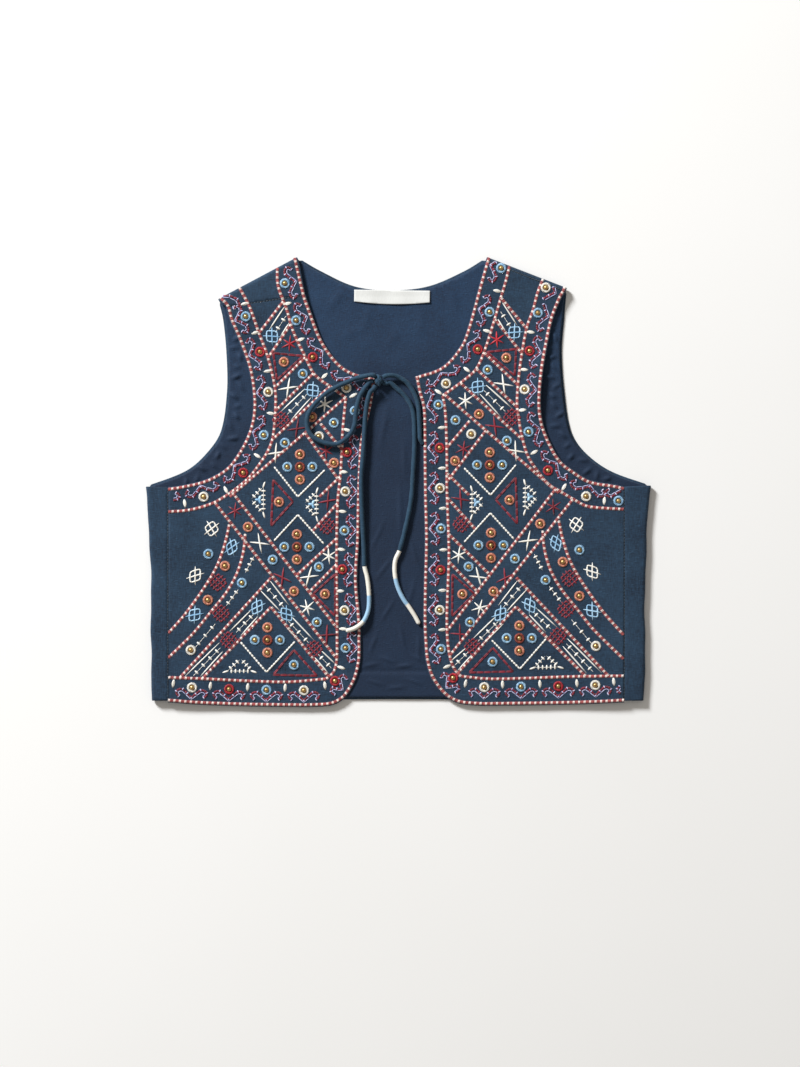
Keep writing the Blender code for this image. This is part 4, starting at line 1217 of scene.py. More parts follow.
def make_label():
    """The bare strip, in its own wall."""
    half = LABEL_LENGTH / 2
    across = np.linspace(-half, half, 50)
    sag = LABEL_SAG * (1.0 - (across / half) ** 2)
    lower = np.column_stack([across, -LABEL_DEPTH / 2 - sag])
    ends = np.array([(half, y) for y in np.linspace(-LABEL_DEPTH / 2, LABEL_DEPTH / 2, 8)[1:-1]])
    upper = np.column_stack([across[::-1], np.full(50, LABEL_DEPTH / 2)])
    outline = np.vstack([lower, ends, upper, ends * (-1, -1)])
    cosine, sine = math.cos(LABEL_TURN), math.sin(LABEL_TURN)
    outline = anticlockwise(outline @ np.array([[cosine, sine], [-sine, cosine]]) + LABEL_CENTRE)

    def place(points, depth):
        across, up = (points - LABEL_CENTRE).T
        curl = 0.0005 * (0.5 + 0.5 * np.sin(across * 210.0)) + 0.0004 * np.clip(-up / 0.006, 0, 1)
        base = LINING_BASE + LINING_WALL + GAP + np.minimum(lining_relief(points), 0.0012)
        return np.column_stack([points, base + curl + depth * 0.6])

    inner = staggered(outline, 0.0015, 0.0007)
    return shell("label_strip", outline, inner, place, LABEL_WALL, ribbon_finish()), outline


label_strip, label_pattern = make_label()
print("label:", len(label_strip.data.polygons), "faces")

# %% [markdown]
# ## Stitches
# All the embroidery is made of one thing, a stitch: a short length of thread pulled through the cloth at
# both ends, so it stands up a little in the middle. One Geometry Nodes tree makes them all. It takes a
# mesh of loose edges, one for each stitch, and lays a small tapered body on each edge. The edge gives
# the length and the way it runs, and three values stored on it give its width, its height and which
# way is up from the cloth. The seed makes each stitch a little different, the same way every time.


# %% The stitch tree
def new_group(name, inputs):
    """A Geometry Nodes tree with named inputs. Returns it and its starting wire."""
    group = bpy.data.node_groups.new(name, "GeometryNodeTree")
    group.interface.new_socket("Geometry", in_out="INPUT", socket_type="NodeSocketGeometry")
    group.interface.new_socket("Geometry", in_out="OUTPUT", socket_type="NodeSocketGeometry")
    for label, kind in inputs:
        group.interface.new_socket(label, in_out="INPUT", socket_type=kind)
    tree = Tree(group)
    return tree, tree.add("NodeGroupInput")


def stored(tree, kind, name):
    """A named value that is stored on the geometry."""
    return tree.add("GeometryNodeInputNamedAttribute", {"data_type": kind}, {"Name": name})


def finish_group(tree, instances, given):
    """Turn instances into one mesh, shade it smooth and give it its material."""
    real = tree.add("GeometryNodeRealizeInstances", {}, {"Geometry": instances})
    smooth = tree.add("GeometryNodeSetShadeSmooth", {}, {"Geometry": real})
    painted = tree.add("GeometryNodeSetMaterial", {}, {
        "Geometry": smooth, "Material": tree.more(given, "Thread"),
    })
    tree.add("NodeGroupOutput", {}, {"Geometry": painted})
    return tree.tree


def stitch_tree():
    """Lay a tapered body of thread on every edge of a mesh."""
    tree, given = new_group("stitches", [
        ("Sides", "NodeSocketInt"), ("Steps", "NodeSocketInt"), ("Bluntness", "NodeSocketFloat"),
        ("Overlap", "NodeSocketFloat"), ("Unevenness", "NodeSocketFloat"), ("Seed", "NodeSocketInt"),
        ("Thread", "NodeSocketMaterial"),
    ])
    body = tree.add("GeometryNodeMeshCylinder", {"fill_type": "NGON"}, {
        "Vertices": tree.more(given, "Sides"), "Side Segments": tree.more(given, "Steps"),
        "Radius": 0.5, "Depth": 1.0,
    })
    corner = tree.add("ShaderNodeSeparateXYZ", {}, {0: tree.add("GeometryNodeInputPosition")})
    length = tree.more(corner, "Z")
    end = tree.add("ShaderNodeMath", {"operation": "ABSOLUTE"}, {0: length * 2.0})
    taper = (1.0 - 0.90 * end ** tree.more(given, "Bluntness")) ** 0.5
    shaped = tree.add("ShaderNodeCombineXYZ", {}, {
        0: length, 1: corner * taper, 2: tree.more(corner, "Y") * taper,
    })
    body = tree.add("GeometryNodeSetPosition", {}, {"Geometry": body, "Position": shaped})
    fibre = {"data_type": "FLOAT_VECTOR", "domain": "POINT"}
    body = tree.add("GeometryNodeStoreNamedAttribute", fibre, {
        "Geometry": body, "Name": "fibre", "Value": tree.add("GeometryNodeInputPosition"),
    })

    ends = tree.add("GeometryNodeInputMeshEdgeVertices", output="Position 1")
    run = tree.add("ShaderNodeVectorMath", {"operation": "SUBTRACT"}, {
        0: tree.more(ends, "Position 2"), 1: ends,
    })
    edges = tree.add("GeometryNodeStoreNamedAttribute", {"data_type": "FLOAT_VECTOR", "domain": "EDGE"}, {
        "Geometry": given, "Name": "run", "Value": run,
    })
    middles = tree.add("GeometryNodeMeshToPoints", {"mode": "EDGES"}, {"Mesh": edges})

    run = stored(tree, "FLOAT_VECTOR", "run")
    along = tree.add("FunctionNodeAlignRotationToVector", {"axis": "X"}, {"Vector": run})
    upright = tree.add("FunctionNodeAlignRotationToVector", {"axis": "Z", "pivot_axis": "X"}, {
        "Rotation": along, "Vector": stored(tree, "FLOAT_VECTOR", "lift"),
    })
    seed = tree.more(given, "Seed")
    random = tree.add("FunctionNodeRandomValue", {"data_type": "FLOAT"}, {2: -1.0, 3: 1.0, "Seed": seed}, 1)
    shade = tree.add("FunctionNodeRandomValue", {"data_type": "FLOAT"}, {2: 0.0, 3: 1.0, "Seed": seed + 7.0}, 1)
    uneven_by = 1.0 + random * tree.more(given, "Unevenness")
    reach = tree.add("ShaderNodeVectorMath", {"operation": "LENGTH"}, {0: run}, "Value")
    size = tree.add("ShaderNodeCombineXYZ", {}, {
        0: reach * (1.0 + tree.more(given, "Overlap")),
        1: stored(tree, "FLOAT", "width") * uneven_by,
        2: stored(tree, "FLOAT", "height") * uneven_by,
    })
    laid = tree.add("GeometryNodeInstanceOnPoints", {}, {
        "Points": middles, "Instance": body, "Rotation": upright, "Scale": size,
    })
    laid = tree.add("GeometryNodeStoreNamedAttribute", {"data_type": "FLOAT", "domain": "INSTANCE"}, {
        "Geometry": laid, "Name": "shade", "Value": shade,
    })
    return finish_group(tree, laid, given)


STITCHES = stitch_tree()
print("stitch tree:", len(STITCHES.nodes), "nodes")

# %% [markdown]
# A tree does nothing until a modifier runs it. This helper sets the modifier's inputs by their socket
# identifiers, takes the evaluated result as a plain mesh, and throws the edges or points away.


# %% Run a tree
def run_tree(name, source, group, settings):
    """Run a tree on a mesh of points or edges, and return the result as a new object."""
    holder = new_object(name + "_layout", source)
    modifier = holder.modifiers.new("make", "NODES")
    modifier.node_group = group
    for item in group.interface.items_tree:
        if item.in_out == "INPUT" and item.name in settings:
            modifier[item.identifier] = settings[item.name]
    holder.update_tag()
    bpy.context.view_layer.update()
    evaluated = holder.evaluated_get(bpy.context.evaluated_depsgraph_get())
    data = bpy.data.meshes.new_from_object(evaluated)
    data.name = name
    for spare in ("run", "lift", "width", "height"):
        if spare in data.attributes:
            data.attributes.remove(data.attributes[spare])
    bpy.data.objects.remove(holder)
    return new_object(name, data)


def edge_mesh(stitches):
    """A mesh of loose edges from rows of start, end, lift, width and height."""
    rows = np.vstack(stitches)
    data = bpy.data.meshes.new("stitches")
    count = len(rows)
    edges = np.arange(2 * count).reshape(-1, 2)
    data.from_pydata(rows[:, :6].reshape(-1, 3).tolist(), edges.tolist(), [])
    lift = data.attributes.new("lift", "FLOAT_VECTOR", "EDGE")
    lift.data.foreach_set("vector", rows[:, 6:9].astype(np.float32).ravel())
    for name, column in (("width", 9), ("height", 10)):
        layer = data.attributes.new(name, "FLOAT", "EDGE")
        layer.data.foreach_set("value", rows[:, column].astype(np.float32))
    return data


# %% [markdown]
# Embroidery cotton is softly shiny and each stitch shows the fine strands it is made of. The finish
# reads the body's own measures for the strands, and the stored shade for the small difference between
# one stitch and the next.


# %% Finishes of the threads
THREAD_SHADES = {
    "brick": ((134, 50, 55), (196, 98, 96)),
    "blush": ((255, 226, 216), (255, 247, 242)),
    "wine": ((84, 16, 36), (142, 36, 60)),
    "lilac": ((166, 164, 214), (220, 220, 250)),
    "cream": ((238, 234, 222), (255, 254, 248)),
    "sky": ((112, 164, 206), (184, 222, 248)),
    "crimson": ((146, 20, 38), (206, 44, 58)),
    "coral": ((200, 112, 86), (238, 170, 142)),
    "rust": ((120, 44, 32), (174, 80, 58)),
    "madder": ((96, 18, 36), (148, 40, 58)),
    "slate": ((16, 30, 43), (42, 64, 82)),
}


def thread_finish(name, dark, pale):
    """Embroidery cotton between two shades."""
    made, tree, shader = new_finish(name, 0.5, 0.30)
    strands = tree.noise(tree.stretched(tree.read("fibre", "Vector"), 1.2, 7.0, 7.0), 1.0)
    dye = tree.noise(tree.place(), 320.0)
    mixed = tree.between(strands * 0.35 + dye * 0.35 + tree.read("shade") * 0.45, 0.25, 0.85)
    wire_finish(tree, shader, tree.mix(mixed, dark, pale), strands, 0.5, 0.0002)
    return made


def brass_finish():
    """Old brass in random patches between a bright warm tone and a browner one, which are painted lit and
    shaded brass as well as tarnish.
    """
    made, tree, shader = new_finish("old_brass", 0.32)
    tarnish_and_painted_shade = tree.between(tree.noise(tree.place(), 420.0, 3.0), 0.42, 0.72)
    # Painted light: the two tones are lit and shaded brass, mixed in random patches that also stand for
    # tarnish.
    colour = tree.mix(tarnish_and_painted_shade, (220, 186, 124), (136, 100, 58))
    shader.inputs["Metallic"].default_value = 0.85
    wire_finish(tree, shader, colour, tarnish_and_painted_shade, 0.2, 0.0001, 0.28 + tarnish_and_painted_shade * 0.25)
    return made


THREADS = {name: thread_finish(f"{name}_thread", *shades) for name, shades in THREAD_SHADES.items()}
OLD_BRASS = brass_finish()
print(len(THREADS), "thread finishes")

# %% [markdown]
# Where a stitch lies flat on the pattern, its height comes from the cloth under it. The shoulder's strip
# and fold carry embroidery too, so the height follows the cloth over the fold.


# %% Heights on the visible cloth
SLOPE_STEP = 0.0008


def cloth_top(side, points):
    """Height of the visible cloth of a front, and of what is turned over at its shoulder."""
    start, _, outward = shoulder_line(side)
    out = (points - start) @ outward
    over = FOLD_RADIUS + np.sqrt(np.maximum(FOLD_RADIUS**2 - np.maximum(out, 0.0) ** 2, 0.0))
    shoulder = SHOULDERS[side]
    first, last = np.array(shoulder.seam_neck), np.array(shoulder.seam_tip)
    span = last - first
    offset = points - first
    beyond = (span[0] * offset[:, 1] - span[1] * offset[:, 0]) * side > 0
    return np.where(beyond, over, front_under(side, points) + FRONT_WALL)


def on_cloth(side, points):
    """Places on the visible cloth, and the way up from it."""
    slopes = []
    for way in np.eye(2) * SLOPE_STEP:
        slopes.append((cloth_top(side, points + way) - cloth_top(side, points - way)) / (2 * SLOPE_STEP))
    slopes = np.clip(slopes, -0.9, 0.9)
    lift = unit(np.column_stack([-slopes[0], -slopes[1], np.ones(len(points))]))
    return np.column_stack([points, cloth_top(side, points)]), lift


SEWN = {}


def sew(side, thread, starts, ends, width, height):
    """Lay stitches of one thread between flat places on a front."""
    starts, ends = np.atleast_2d(starts), np.atleast_2d(ends)
    middle, lift = on_cloth(side, (starts + ends) / 2.0)
    first = np.column_stack([starts, cloth_top(side, starts)])
    last = np.column_stack([ends, cloth_top(side, ends)])
    count = len(starts)
    shift = np.column_stack([np.zeros((count, 2)), middle[:, 2] - (first[:, 2] + last[:, 2]) / 2])
    sizes = np.column_stack([np.broadcast_to(width, count), np.broadcast_to(height, count)])
    SEWN.setdefault((side, thread), []).append(np.hstack([first + shift, last + shift, lift, sizes]))


# %% [markdown]
# ### Couched cord
# Every band and lozenge is outlined by a cord of brick thread, tied down at even steps by pale
# blush thread. Each step is five bars of thread across the line: three brick, then two blush.

# %% Lines beside an edge, and couched cord
COUCHED_WIDTH = 0.0033
COUCHED_PITCH = 0.0053
COUCHED_BARS = 5
BRICK_BARS = 3
BRICK_HEIGHT = 0.0013
BLUSH_HEIGHT = 0.0018
BORDER_INSET = 0.0023


def beside(side, path, distance):
    """A path moved into the front by a distance, with its corners kept sharp."""
    steps = unit(np.diff(path, axis=0))
    arriving, leaving = np.vstack([steps[:1], steps]), np.vstack([steps, steps[-1:]])
    inward = side * quarter_turned(unit(arriving + leaving))
    across = side * quarter_turned(leaving)
    return path + inward * (distance / np.maximum(0.5, (inward * across).sum(axis=1)))[:, None]


def couch(side, path):
    """Brick and blush bars across a line."""
    length = path_length(path)
    count = COUCHED_BARS * max(1, round(length / COUCHED_PITCH))
    bar = length / count
    places = (np.arange(count) + 0.5) * bar
    spots = walk(path, places)
    along = unit(walk(path, places + 0.0003) - walk(path, places - 0.0003))
    across = quarter_turned(along) + 0.12 * along
    is_brick = np.arange(count) % COUCHED_BARS < BRICK_BARS
    half = COUCHED_WIDTH / 2.0 * np.where(is_brick, 1.0, 0.92)[:, None]
    starts, ends = spots - across * half, spots + across * half
    for thread, mine, tall in (("brick", is_brick, BRICK_HEIGHT), ("blush", ~is_brick, BLUSH_HEIGHT)):
        sew(side, thread, starts[mine], ends[mine], bar * 1.12, tall)


# %% [markdown]
# ### Rings and beads
# Each ring is a circle of buttonhole stitches round a hole, and a small brass bead sits in the hole.

# %% Rings
RING_OUTER = 0.0050
RING_INNER = 0.0027
RING_STITCHES = 22
BEAD_RADIUS = 0.0024
BEAD_LIFT = 0.0002
BEADS = {-1: [], 1: []}


def ring(side, thread, centre, turn=0.0):
    """A ring of radial stitches at a flat place, with a bead in its middle."""
    angles = np.arange(RING_STITCHES) * 2.0 * math.pi / RING_STITCHES + turn
    spokes = np.column_stack([np.cos(angles), np.sin(angles)])
    sew(side, thread, centre + spokes * RING_INNER, centre + spokes * RING_OUTER, 0.00130, 0.0024)
    BEADS[side].append(centre)


def bead_tree():
    """Set a round bead on every point of a mesh."""
    tree, given = new_group("beads", [("Radius", "NodeSocketFloat"), ("Thread", "NodeSocketMaterial")])
    points = tree.add("GeometryNodeMeshToPoints", {"mode": "VERTICES"}, {"Mesh": given})
    ball = tree.add("GeometryNodeMeshUVSphere", {}, {
        "Segments": 14, "Rings": 9, "Radius": tree.more(given, "Radius"),
    })
    set_on = tree.add("GeometryNodeInstanceOnPoints", {}, {"Points": points, "Instance": ball})
    return finish_group(tree, set_on, given)


# %% [markdown]
# ### The bands
# Two bands run round each front: one along the neck, the centre and the hem, the other round the
# armhole. In each, rings stand in a row. Round each ring's outer side runs a bracket of wine stitches
# with lilac knots and a lilac line beside it, and a cream leaf stands between two rings. Where a seam
# cuts a row short, the bracket is sewn and its ring is not: the table gives such places in ring spaces.

# %% Measures of the bands
BandRow = namedtuple("BandRow", "edge first last inset threads")
BAND_ROWS = {
    -1: [
        BandRow("neck", 0.0200, 0.0900, 0.0169, "sky crimson cream"),
        BandRow("centre", 0.0370, 0.2640, 0.0152, "sky crimson cream sky crimson cream sky"),
        BandRow("hem", 0.0020, 0.1117, 0.0163, "cream sky crimson cream"),
        BandRow("armhole", 0.0310, 0.2110, 0.0157, "cream crimson sky cream crimson sky"),
    ],
    1: [
        BandRow("neck", 0.0468, 0.1165, 0.0169, "sky crimson cream"),
        BandRow("centre", 0.0312, 0.2670, 0.0164, "sky crimson cream sky crimson cream sky"),
        BandRow("hem", 0.0008, 0.1095, 0.0182, "cream sky crimson cream"),
        BandRow("armhole", 0.0325, 0.2110, 0.0163, "cream crimson sky cream crimson sky"),
    ],
}
CORNER_RING = {-1: (-0.0611, -0.1925), 1: (0.0534, -0.1896)}
EXTRA_RINGS = {
    -1: [("sky", (-0.1096, 0.1928))],
    1: [("sky", (0.0999, 0.2075)), ("cream", (0.1432, 0.1887)), ("sky", (0.2136, -0.0179))],
}
RINGLESS = {-1: {"hem": [4], "armhole": [-1, 5.7]}, 1: {"hem": [4]}}
CORNER_LEAF = {-1: [(-47.0, 82.5), (-39.8, 86.3)], 1: [(42.7, 85.5), (35.9, 89.9)]}
INNER_FRONT = {
    -1: [
        [(-117, 208), (-116, 190), (-108, 168), (-101, 145), (-89, 120), (-82, 106), (-74, 98.5), (-65, 92.5),
         (-50.5, 82)],
        [(-50.5, 82), (-53.5, 50), (-55.5, 10), (-58.5, -20), (-59.5, -85), (-59, -149), (-59.5, -173),
         (-62.5, -184), (-69.5, -190.5)],
        [(-69.5, -190.5), (-106, -193.5), (-147, -192.5), (-186, -190.5), (-222.5, -189)],
    ],
    1: [
        [(108, 209.5), (105, 196.5), (99, 176), (93.5, 157), (84, 127.5), (76, 110), (66, 100.5), (43.5, 84)],
        [(43.5, 84), (46, 68), (47.5, 26), (47.5, -4.5), (49.5, -68), (48.5, -100), (47.5, -132), (48.5, -157),
         (51.5, -173), (56, -183), (61, -188)],
        [(61, -188), (87, -190.5), (122, -190), (163, -188.5), (218.5, -187.5)],
    ],
}
INNER_ARM = {
    -1: [(-222.5, -28.5), (-207.5, -27.5), (-194, -25), (-177, -19), (-161, -9), (-145.5, 3.5), (-135, 16.5),
         (-126, 30.5), (-121, 45), (-118.5, 77.5), (-119.5, 93.5), (-126, 121), (-135, 145.5), (-144, 170.5),
         (-153.5, 188.5)],
    1: [(218.5, -26), (200, -25), (183, -23), (172, -17.5), (156, -8), (146.5, -2.5), (136, 10), (126, 25.5),
        (120.5, 44), (117.5, 59), (115.5, 77.5), (118.5, 113), (125, 150), (131, 167), (135.5, 184),
        (140.5, 197)],
}
BRACKET = [(0.0, 10.0), (4.2, 5.9), (8.8, 2.1), (12.6, 2.3), (15.0, 4.6), (14.7, 7.4), (12.2, 9.3)]
BRACKET_KNOTS = (0, 1, 2, 4, 6)
BRACKET_LINE = [(0.0, 11.8), (5.3, 7.4), (9.2, 4.3), (11.7, 4.3), (13.0, 5.8), (12.6, 7.0), (11.0, 8.0)]
LEAF_GAPS = (0.0245, 0.050)
LEAF_STRAND = 0.00039
EDGE_STEP = 0.001
EDGE_MARGIN = 0.0015
ARM_ROWS_FROM = 0.125
MM = 0.001


# %% The edges that the bands follow
def band_edges(side):
    """The front edge from the shoulder fold to the side seam, the armhole's edge, and each edge's start."""
    shoulder = SHOULDERS[side]
    neck = smooth_path([shoulder.neck] + FRONT_NECK[side], EDGE_STEP)
    centre = smooth_path(FRONT_CENTRE[side], EDGE_STEP)
    hem = smooth_path(FRONT_HEM[side], EDGE_STEP)
    arm = smooth_path(FRONT_ARMHOLE[side] + [shoulder.tip], EDGE_STEP)
    over = path_length(smooth_path([shoulder.neck, FRONT_NECK[side][0]], EDGE_STEP))
    starts = {"neck": over, "centre": path_length(neck), "armhole": 0.0}
    starts["hem"] = starts["centre"] + path_length(centre)
    return np.vstack([neck, centre[1:], hem[1:]]), arm, starts


def warp(side, edge, run, inset, places):
    """Flat places from millimetres along an edge and towards it, round the middle of a ring."""
    places = np.atleast_2d(places) * MM
    runs = np.clip(run + places[:, 0], 0.0002, path_length(edge) - 0.0002)
    spots = walk(edge, runs)
    inward = side * quarter_turned(unit(walk(edge, runs + 0.004) - walk(edge, runs - 0.004)))
    return spots + inward * (inset - places[:, 1])[:, None]


def bracket(side, edge, run, inset, low, high):
    """The wine bracket round a ring, with its lilac knots and line, where it lies between low and high."""
    for hand in (-1.0, 1.0):
        turn = np.array((hand, 1.0))
        held = [np.array(at) * turn for at in BRACKET if low <= hand * at[0] <= high]
        if len(held) > 1:
            path = warp(side, edge, run, inset, held)
            middles = (path[:-1] + path[1:]) / 2.0
            sew(side, "wine", path[:-1], middles, 0.0025, 0.0017)
            sew(side, "wine", middles, path[1:], 0.0025, 0.0017)
            across = quarter_turned(unit(np.gradient(path, axis=0))) * 0.0013
            knots = [number for number in BRACKET_KNOTS if number < len(path) and (number or hand < 0)]
            sew(side, "lilac", (path - across)[knots], (path + across)[knots], 0.0014, 0.0023)
        line = [np.array(at) * turn for at in BRACKET_LINE if low <= hand * at[0] <= high]
        if len(line) > 1:
            path = warp(side, edge, run, inset, line)
            sew(side, "lilac", path[:-1], path[1:], 0.0009, 0.0013)


def leaf(side, base, tip):
    """A cream leaf in satin stitch: seven strands side by side, shorter at its sides."""
    along = tip - base
    for number in range(-3, 4):
        share = 0.5 - 0.5 * math.sqrt(1.0 - (number / 3.5) ** 2)
        aside = quarter_turned(unit(along)) * number * LEAF_STRAND
        start, end = base + along * share + aside, tip - along * share + aside
        sew(side, "cream", start, end, 0.0008, 0.0019 - 0.0003 * abs(number))


# %% Sew the bands
def sew_band(side, edge, rows):
    """Brackets and leaves along one edge, from each ring's run along it and inset from it."""
    low, high = EDGE_MARGIN, path_length(edge) - EDGE_MARGIN
    rows = sorted(rows)
    halfway = [(row[0] + after[0]) / 2.0 for row, after in zip(rows, rows[1:])]
    for (run, inset), start, end in zip(rows, [low] + halfway, halfway + [high]):
        bracket(side, edge, run, inset, (max(low, start) - run) / MM, (min(high, end) - run) / MM)
    for (run, inset), (after, _), middle in zip(rows, rows[1:], halfway):
        if LEAF_GAPS[0] < after - run < LEAF_GAPS[1] and low < middle < high:
            leaf(side, *warp(side, edge, middle, inset, [(0.0, -6.2), (0.4, 1.4)]))


def sew_bands(side):
    """Both bands of one front, with their couched borders."""
    edge, arm, starts = band_edges(side)
    couch(side, beside(side, edge, BORDER_INSET))
    couch(side, beside(side, arm, BORDER_INSET))
    for line in INNER_FRONT[side] + [INNER_ARM[side]]:
        couch(side, smooth_path(np.array(line) * MM, EDGE_STEP))
    placed = {"front": [], "armhole": []}
    for row in BAND_ROWS[side]:
        names = row.threads.split()
        first = starts[row.edge] + row.first
        apart = (row.last - row.first) / (len(names) - 1)
        which, path = ("armhole", arm) if row.edge == "armhole" else ("front", edge)
        for number, thread in enumerate(names):
            run = first + apart * number
            placed[which].append((run, row.inset))
            ring(side, thread, warp(side, path, run, row.inset, [(0.0, 0.0)])[0], run * 40.0)
        placed[which] += [(first + apart * number, row.inset) for number in RINGLESS[side].get(row.edge, [])]
    corner = np.array(CORNER_RING[side])
    ring(side, "crimson", corner)
    corner_run = (placed["front"][9][0] + placed["front"][10][0]) / 2.0
    placed["front"].append((corner_run, float(np.linalg.norm(edge - corner, axis=1).min())))
    leaf(side, *np.array(CORNER_LEAF[side]) * MM)
    for thread, at in EXTRA_RINGS[side]:
        ring(side, thread, np.array(at))
        which, path = ("front", edge) if abs(at[0]) < ARM_ROWS_FROM else ("armhole", arm)
        away = np.linalg.norm(path - np.array(at), axis=1)
        closest = int(np.argmin(away))
        placed[which].append((path_length(path[:closest + 1]), float(away[closest])))
    sew_band(side, edge, placed["front"])
    sew_band(side, arm, placed["armhole"])


for side in (-1, 1):
    sew_bands(side)
print("bands:", {key[1]: sum(len(rows) for rows in value) for key, value in SEWN.items() if key[0] < 0})

# %% [markdown]
# ### The middle of the fronts
# Inside the bands, lines of couched cord cut each front into lozenges, triangles and strips. They are
# filled with crosses of five rings, half lozenges of chain stitch, combs, little lattices, stars and
# crosses. The left front mirrors the right one but for a few shifts, so one table in millimetres serves
# both. A motif's row gives its middle, and then the turns of its threads in degrees.

# %% The layout of the middle, on the right front
COUCHED_LINES = [
    [(-104, 153), (-125, 122)], [(-90, 121), (-118.5, 92.5)], [(-81.5, 106), (-118.5, 69.5)],
    [(-66, 93), (-122, 41)], [(-51, 82), (-90, 48), (-163, -14)], [(-90, 48), (-57.5, 2.5)],
    [(-75, 57), (-57, 35)], [(-60, 1.5), (-76, -14)], [(-158, -13), (-58.5, -142)],
    [(-176, -21.5), (-60, -170)], [(-59, -21), (-82.5, -47)], [(-60, -55), (-98, -90)],
    [(-60, -80), (-86.5, -107)],
    [(-163.5, -41), (-167, -57), (-172.5, -74), (-179, -88), (-191, -107), (-208, -130), (-225, -149)],
    [(-148, -50), (-150, -68), (-156, -88), (-166.5, -107), (-180.5, -124.5), (-197.5, -145.5),
     (-212.5, -160.5), (-225, -172.5)],
    [(-210.5, -188.5), (-123, -92.5)], [(-188, -188.5), (-123, -121)], [(-123, -121), (-66, -190)],
]
OWN_LINES = {-1: [[(-112, 174), (-133.5, 146)]], 1: [[(98.9, 180), (123.2, 151)]]}
CHAINED_LINES = [
    [(-120, 15), (-97, -14), (-71, 12)], [(-120, -56.5), (-97, -31.5), (-72, -59.5)],
    [(-152.5, -155), (-127.5, -184), (-100, -154.5)],
]
RED_TRIANGLES = [
    [(-121, 125.5), (-92, 122.5), (-117.5, 99.5)], [(-121, 2.5), (-102, -18.5), (-123, -42)],
    [(-61, -89), (-82.5, -108), (-61, -129.5)], [(-101, -162.5), (-121, -186.5), (-78.5, -187.5)],
]
COMBS = [
    [(-130.5, -4), (-130.5, -30), (-142.5, -16.5)], [(-79, -9.5), (-79, -34), (-90.5, -20.5)],
    [(-165.5, -183), (-141.5, -183), (-152.5, -171)],
]
LATTICES = {
    "sky": [(-122, 141.5, -4, 92), (-82.5, 89, -8, 88), (-161, -63, 35, 103), (-197, -128.5, 10, 88),
            (-136.5, -121, 25, 95), (-108, -128, -15, 92)],
    "cream": [(-180.5, -45, 38, 122), (-196.5, -90.5, 17, 90)],
}
NETS = [(-113.5, 60.5), (-69, -42), (-174.5, -97), (-171.5, -127), (-164, -153), (-81.5, -161.5)]
STARS = {
    "crimson": [(-105, 134.5)],
    "madder": [(-158, -27.5), (-70, 30.5)],
    "cream": [(-71, 76), (-67, -71.5), (-88, -121.5)],
}
CROSSES = {
    "cream": [(-106.5, 91.5, 9, 82), (-118.5, 28.5, 8, 87), (-134, -59, -7, 100), (-86.5, -91.5, 7, 75)],
    "madder": [(-98, 52, 8, 82), (-68, -18, 10, 86), (-112, -92.5, -26, 84), (-69, -148, 5, 88)],
}
FIVE_RINGS = [(-95.1, 15.0), (-98.0, -62.6), (-126.6, -152.8)]
FIVE_ARM = 12.2
SINGLE_RINGS = {
    "sky": [(-92.2, 105.2), (-109.6, 38.3), (-62.1, 57.7), (-121.4, -75), (-78.6, -135.6), (-76.6, -82.0),
            (-183.8, -69.4), (-151.3, -97.5), (-100.9, -177.0)],
    "coral": [(-110.6, 116.9), (-83.4, 63.5), (-62.1, 18.9), (-115.4, -18.9), (-145.5, -43.2), (-100.9, -105.6),
              (-70.8, -108.2), (-167.8, -81.0), (-184.3, -114.0)],
    "cream": [(-76.6, 44.6), (-200.8, -162.5)],
}
TRAMS = [
    [(-110.6, 169.3), (-124.2, 148.9), (-106.2, 153.7), (-113.5, 142.1), 2],
    [(-91.3, 89.8), (-112.3, 69.9), (-85, 81.5), (-102.8, 61.5), 3],
    [(-143.1, -124.4), (-162.4, -143.6), (-136.7, -130.8), (-151.7, -147.8), 3],
    [(-174.6, -156.8), (-205.2, -186.8), (-169.9, -163.9), (-191.7, -188.2), 4],
    [(-123.2, -96.5), (-106.7, -117.9), (-132.8, -105.4), (-114.2, -124.7), 3],
    [(-102.4, -131.1), (-82.7, -151.7), (-109.9, -138.2), (-90, -160), 3],
    [(-74.6, -162.9), (-61.1, -175.7), (-80.3, -170.3), (-67.9, -184.7), 2],
]
BARRED_LINES = [[(-140, -72), (-148, -87.5)], [(-155, -104), (-166.5, -119.5)], [(-177, -137), (-196.5, -160)]]


def across_front(side, places):
    """Flat places of a front from the right front's millimetres. The left front mirrors them, and was
    sewn a few millimetres wider at the chest, longer beside the opening and nearer to it at the top."""
    places = np.atleast_2d(np.array(places, float))
    if side > 0:
        across, up = places.T
        across = -4.8 - across + 0.0125 * (up - 177.0)
        chest = np.interp(up, [0, 45, 75, 115], [0, 1, 1, 0]) * np.clip((across - 56) / 55, 0, 1)
        longer = np.interp(up, [-175, -138, -90, -60, 40, 100], [0.8, 3.8, 4.2, 2.2, 1.9, 0])
        nearer = np.interp(up, [122, 134], [0, 3.8])
        shift = longer * np.clip((155 - across) / 45, 0, 1)
        places = np.column_stack([across + 3.6 * chest - nearer, up + 3.9 - shift])
    return places * MM


# %% Small motifs
COMB_PITCH = 0.0041


def stroke(side, thread, first, last, width=0.0012, height=0.0013):
    """One long stitch between two flat places."""
    sew(side, thread, first, last, width, height)


def centred(side, thread, centre, way, half, width, height=0.0013):
    """One long stitch through a middle, half its length to either side."""
    reach = way * half * MM
    stroke(side, thread, centre - reach, centre + reach, width, height)


def chain(side, thread, path, step, width, height=0.0013):
    """A line of stitches end to end."""
    path = np.array(path)
    length = path_length(path)
    spots = walk(path, np.linspace(0.0, length, max(1, round(length / step)) + 1))
    sew(side, thread, spots[:-1], spots[1:], width, height)


def spun(angle):
    """The unit direction at an angle in degrees."""
    return np.array((math.cos(math.radians(angle)), math.sin(math.radians(angle))))


def star(side, thread, centre, turn):
    """Three long stitches that cross in the middle."""
    for number, half in enumerate((7.4, 6.8, 7.8)):
        centred(side, thread, centre, spun(turn + 60.0 * number), half, 0.0019, 0.0014)


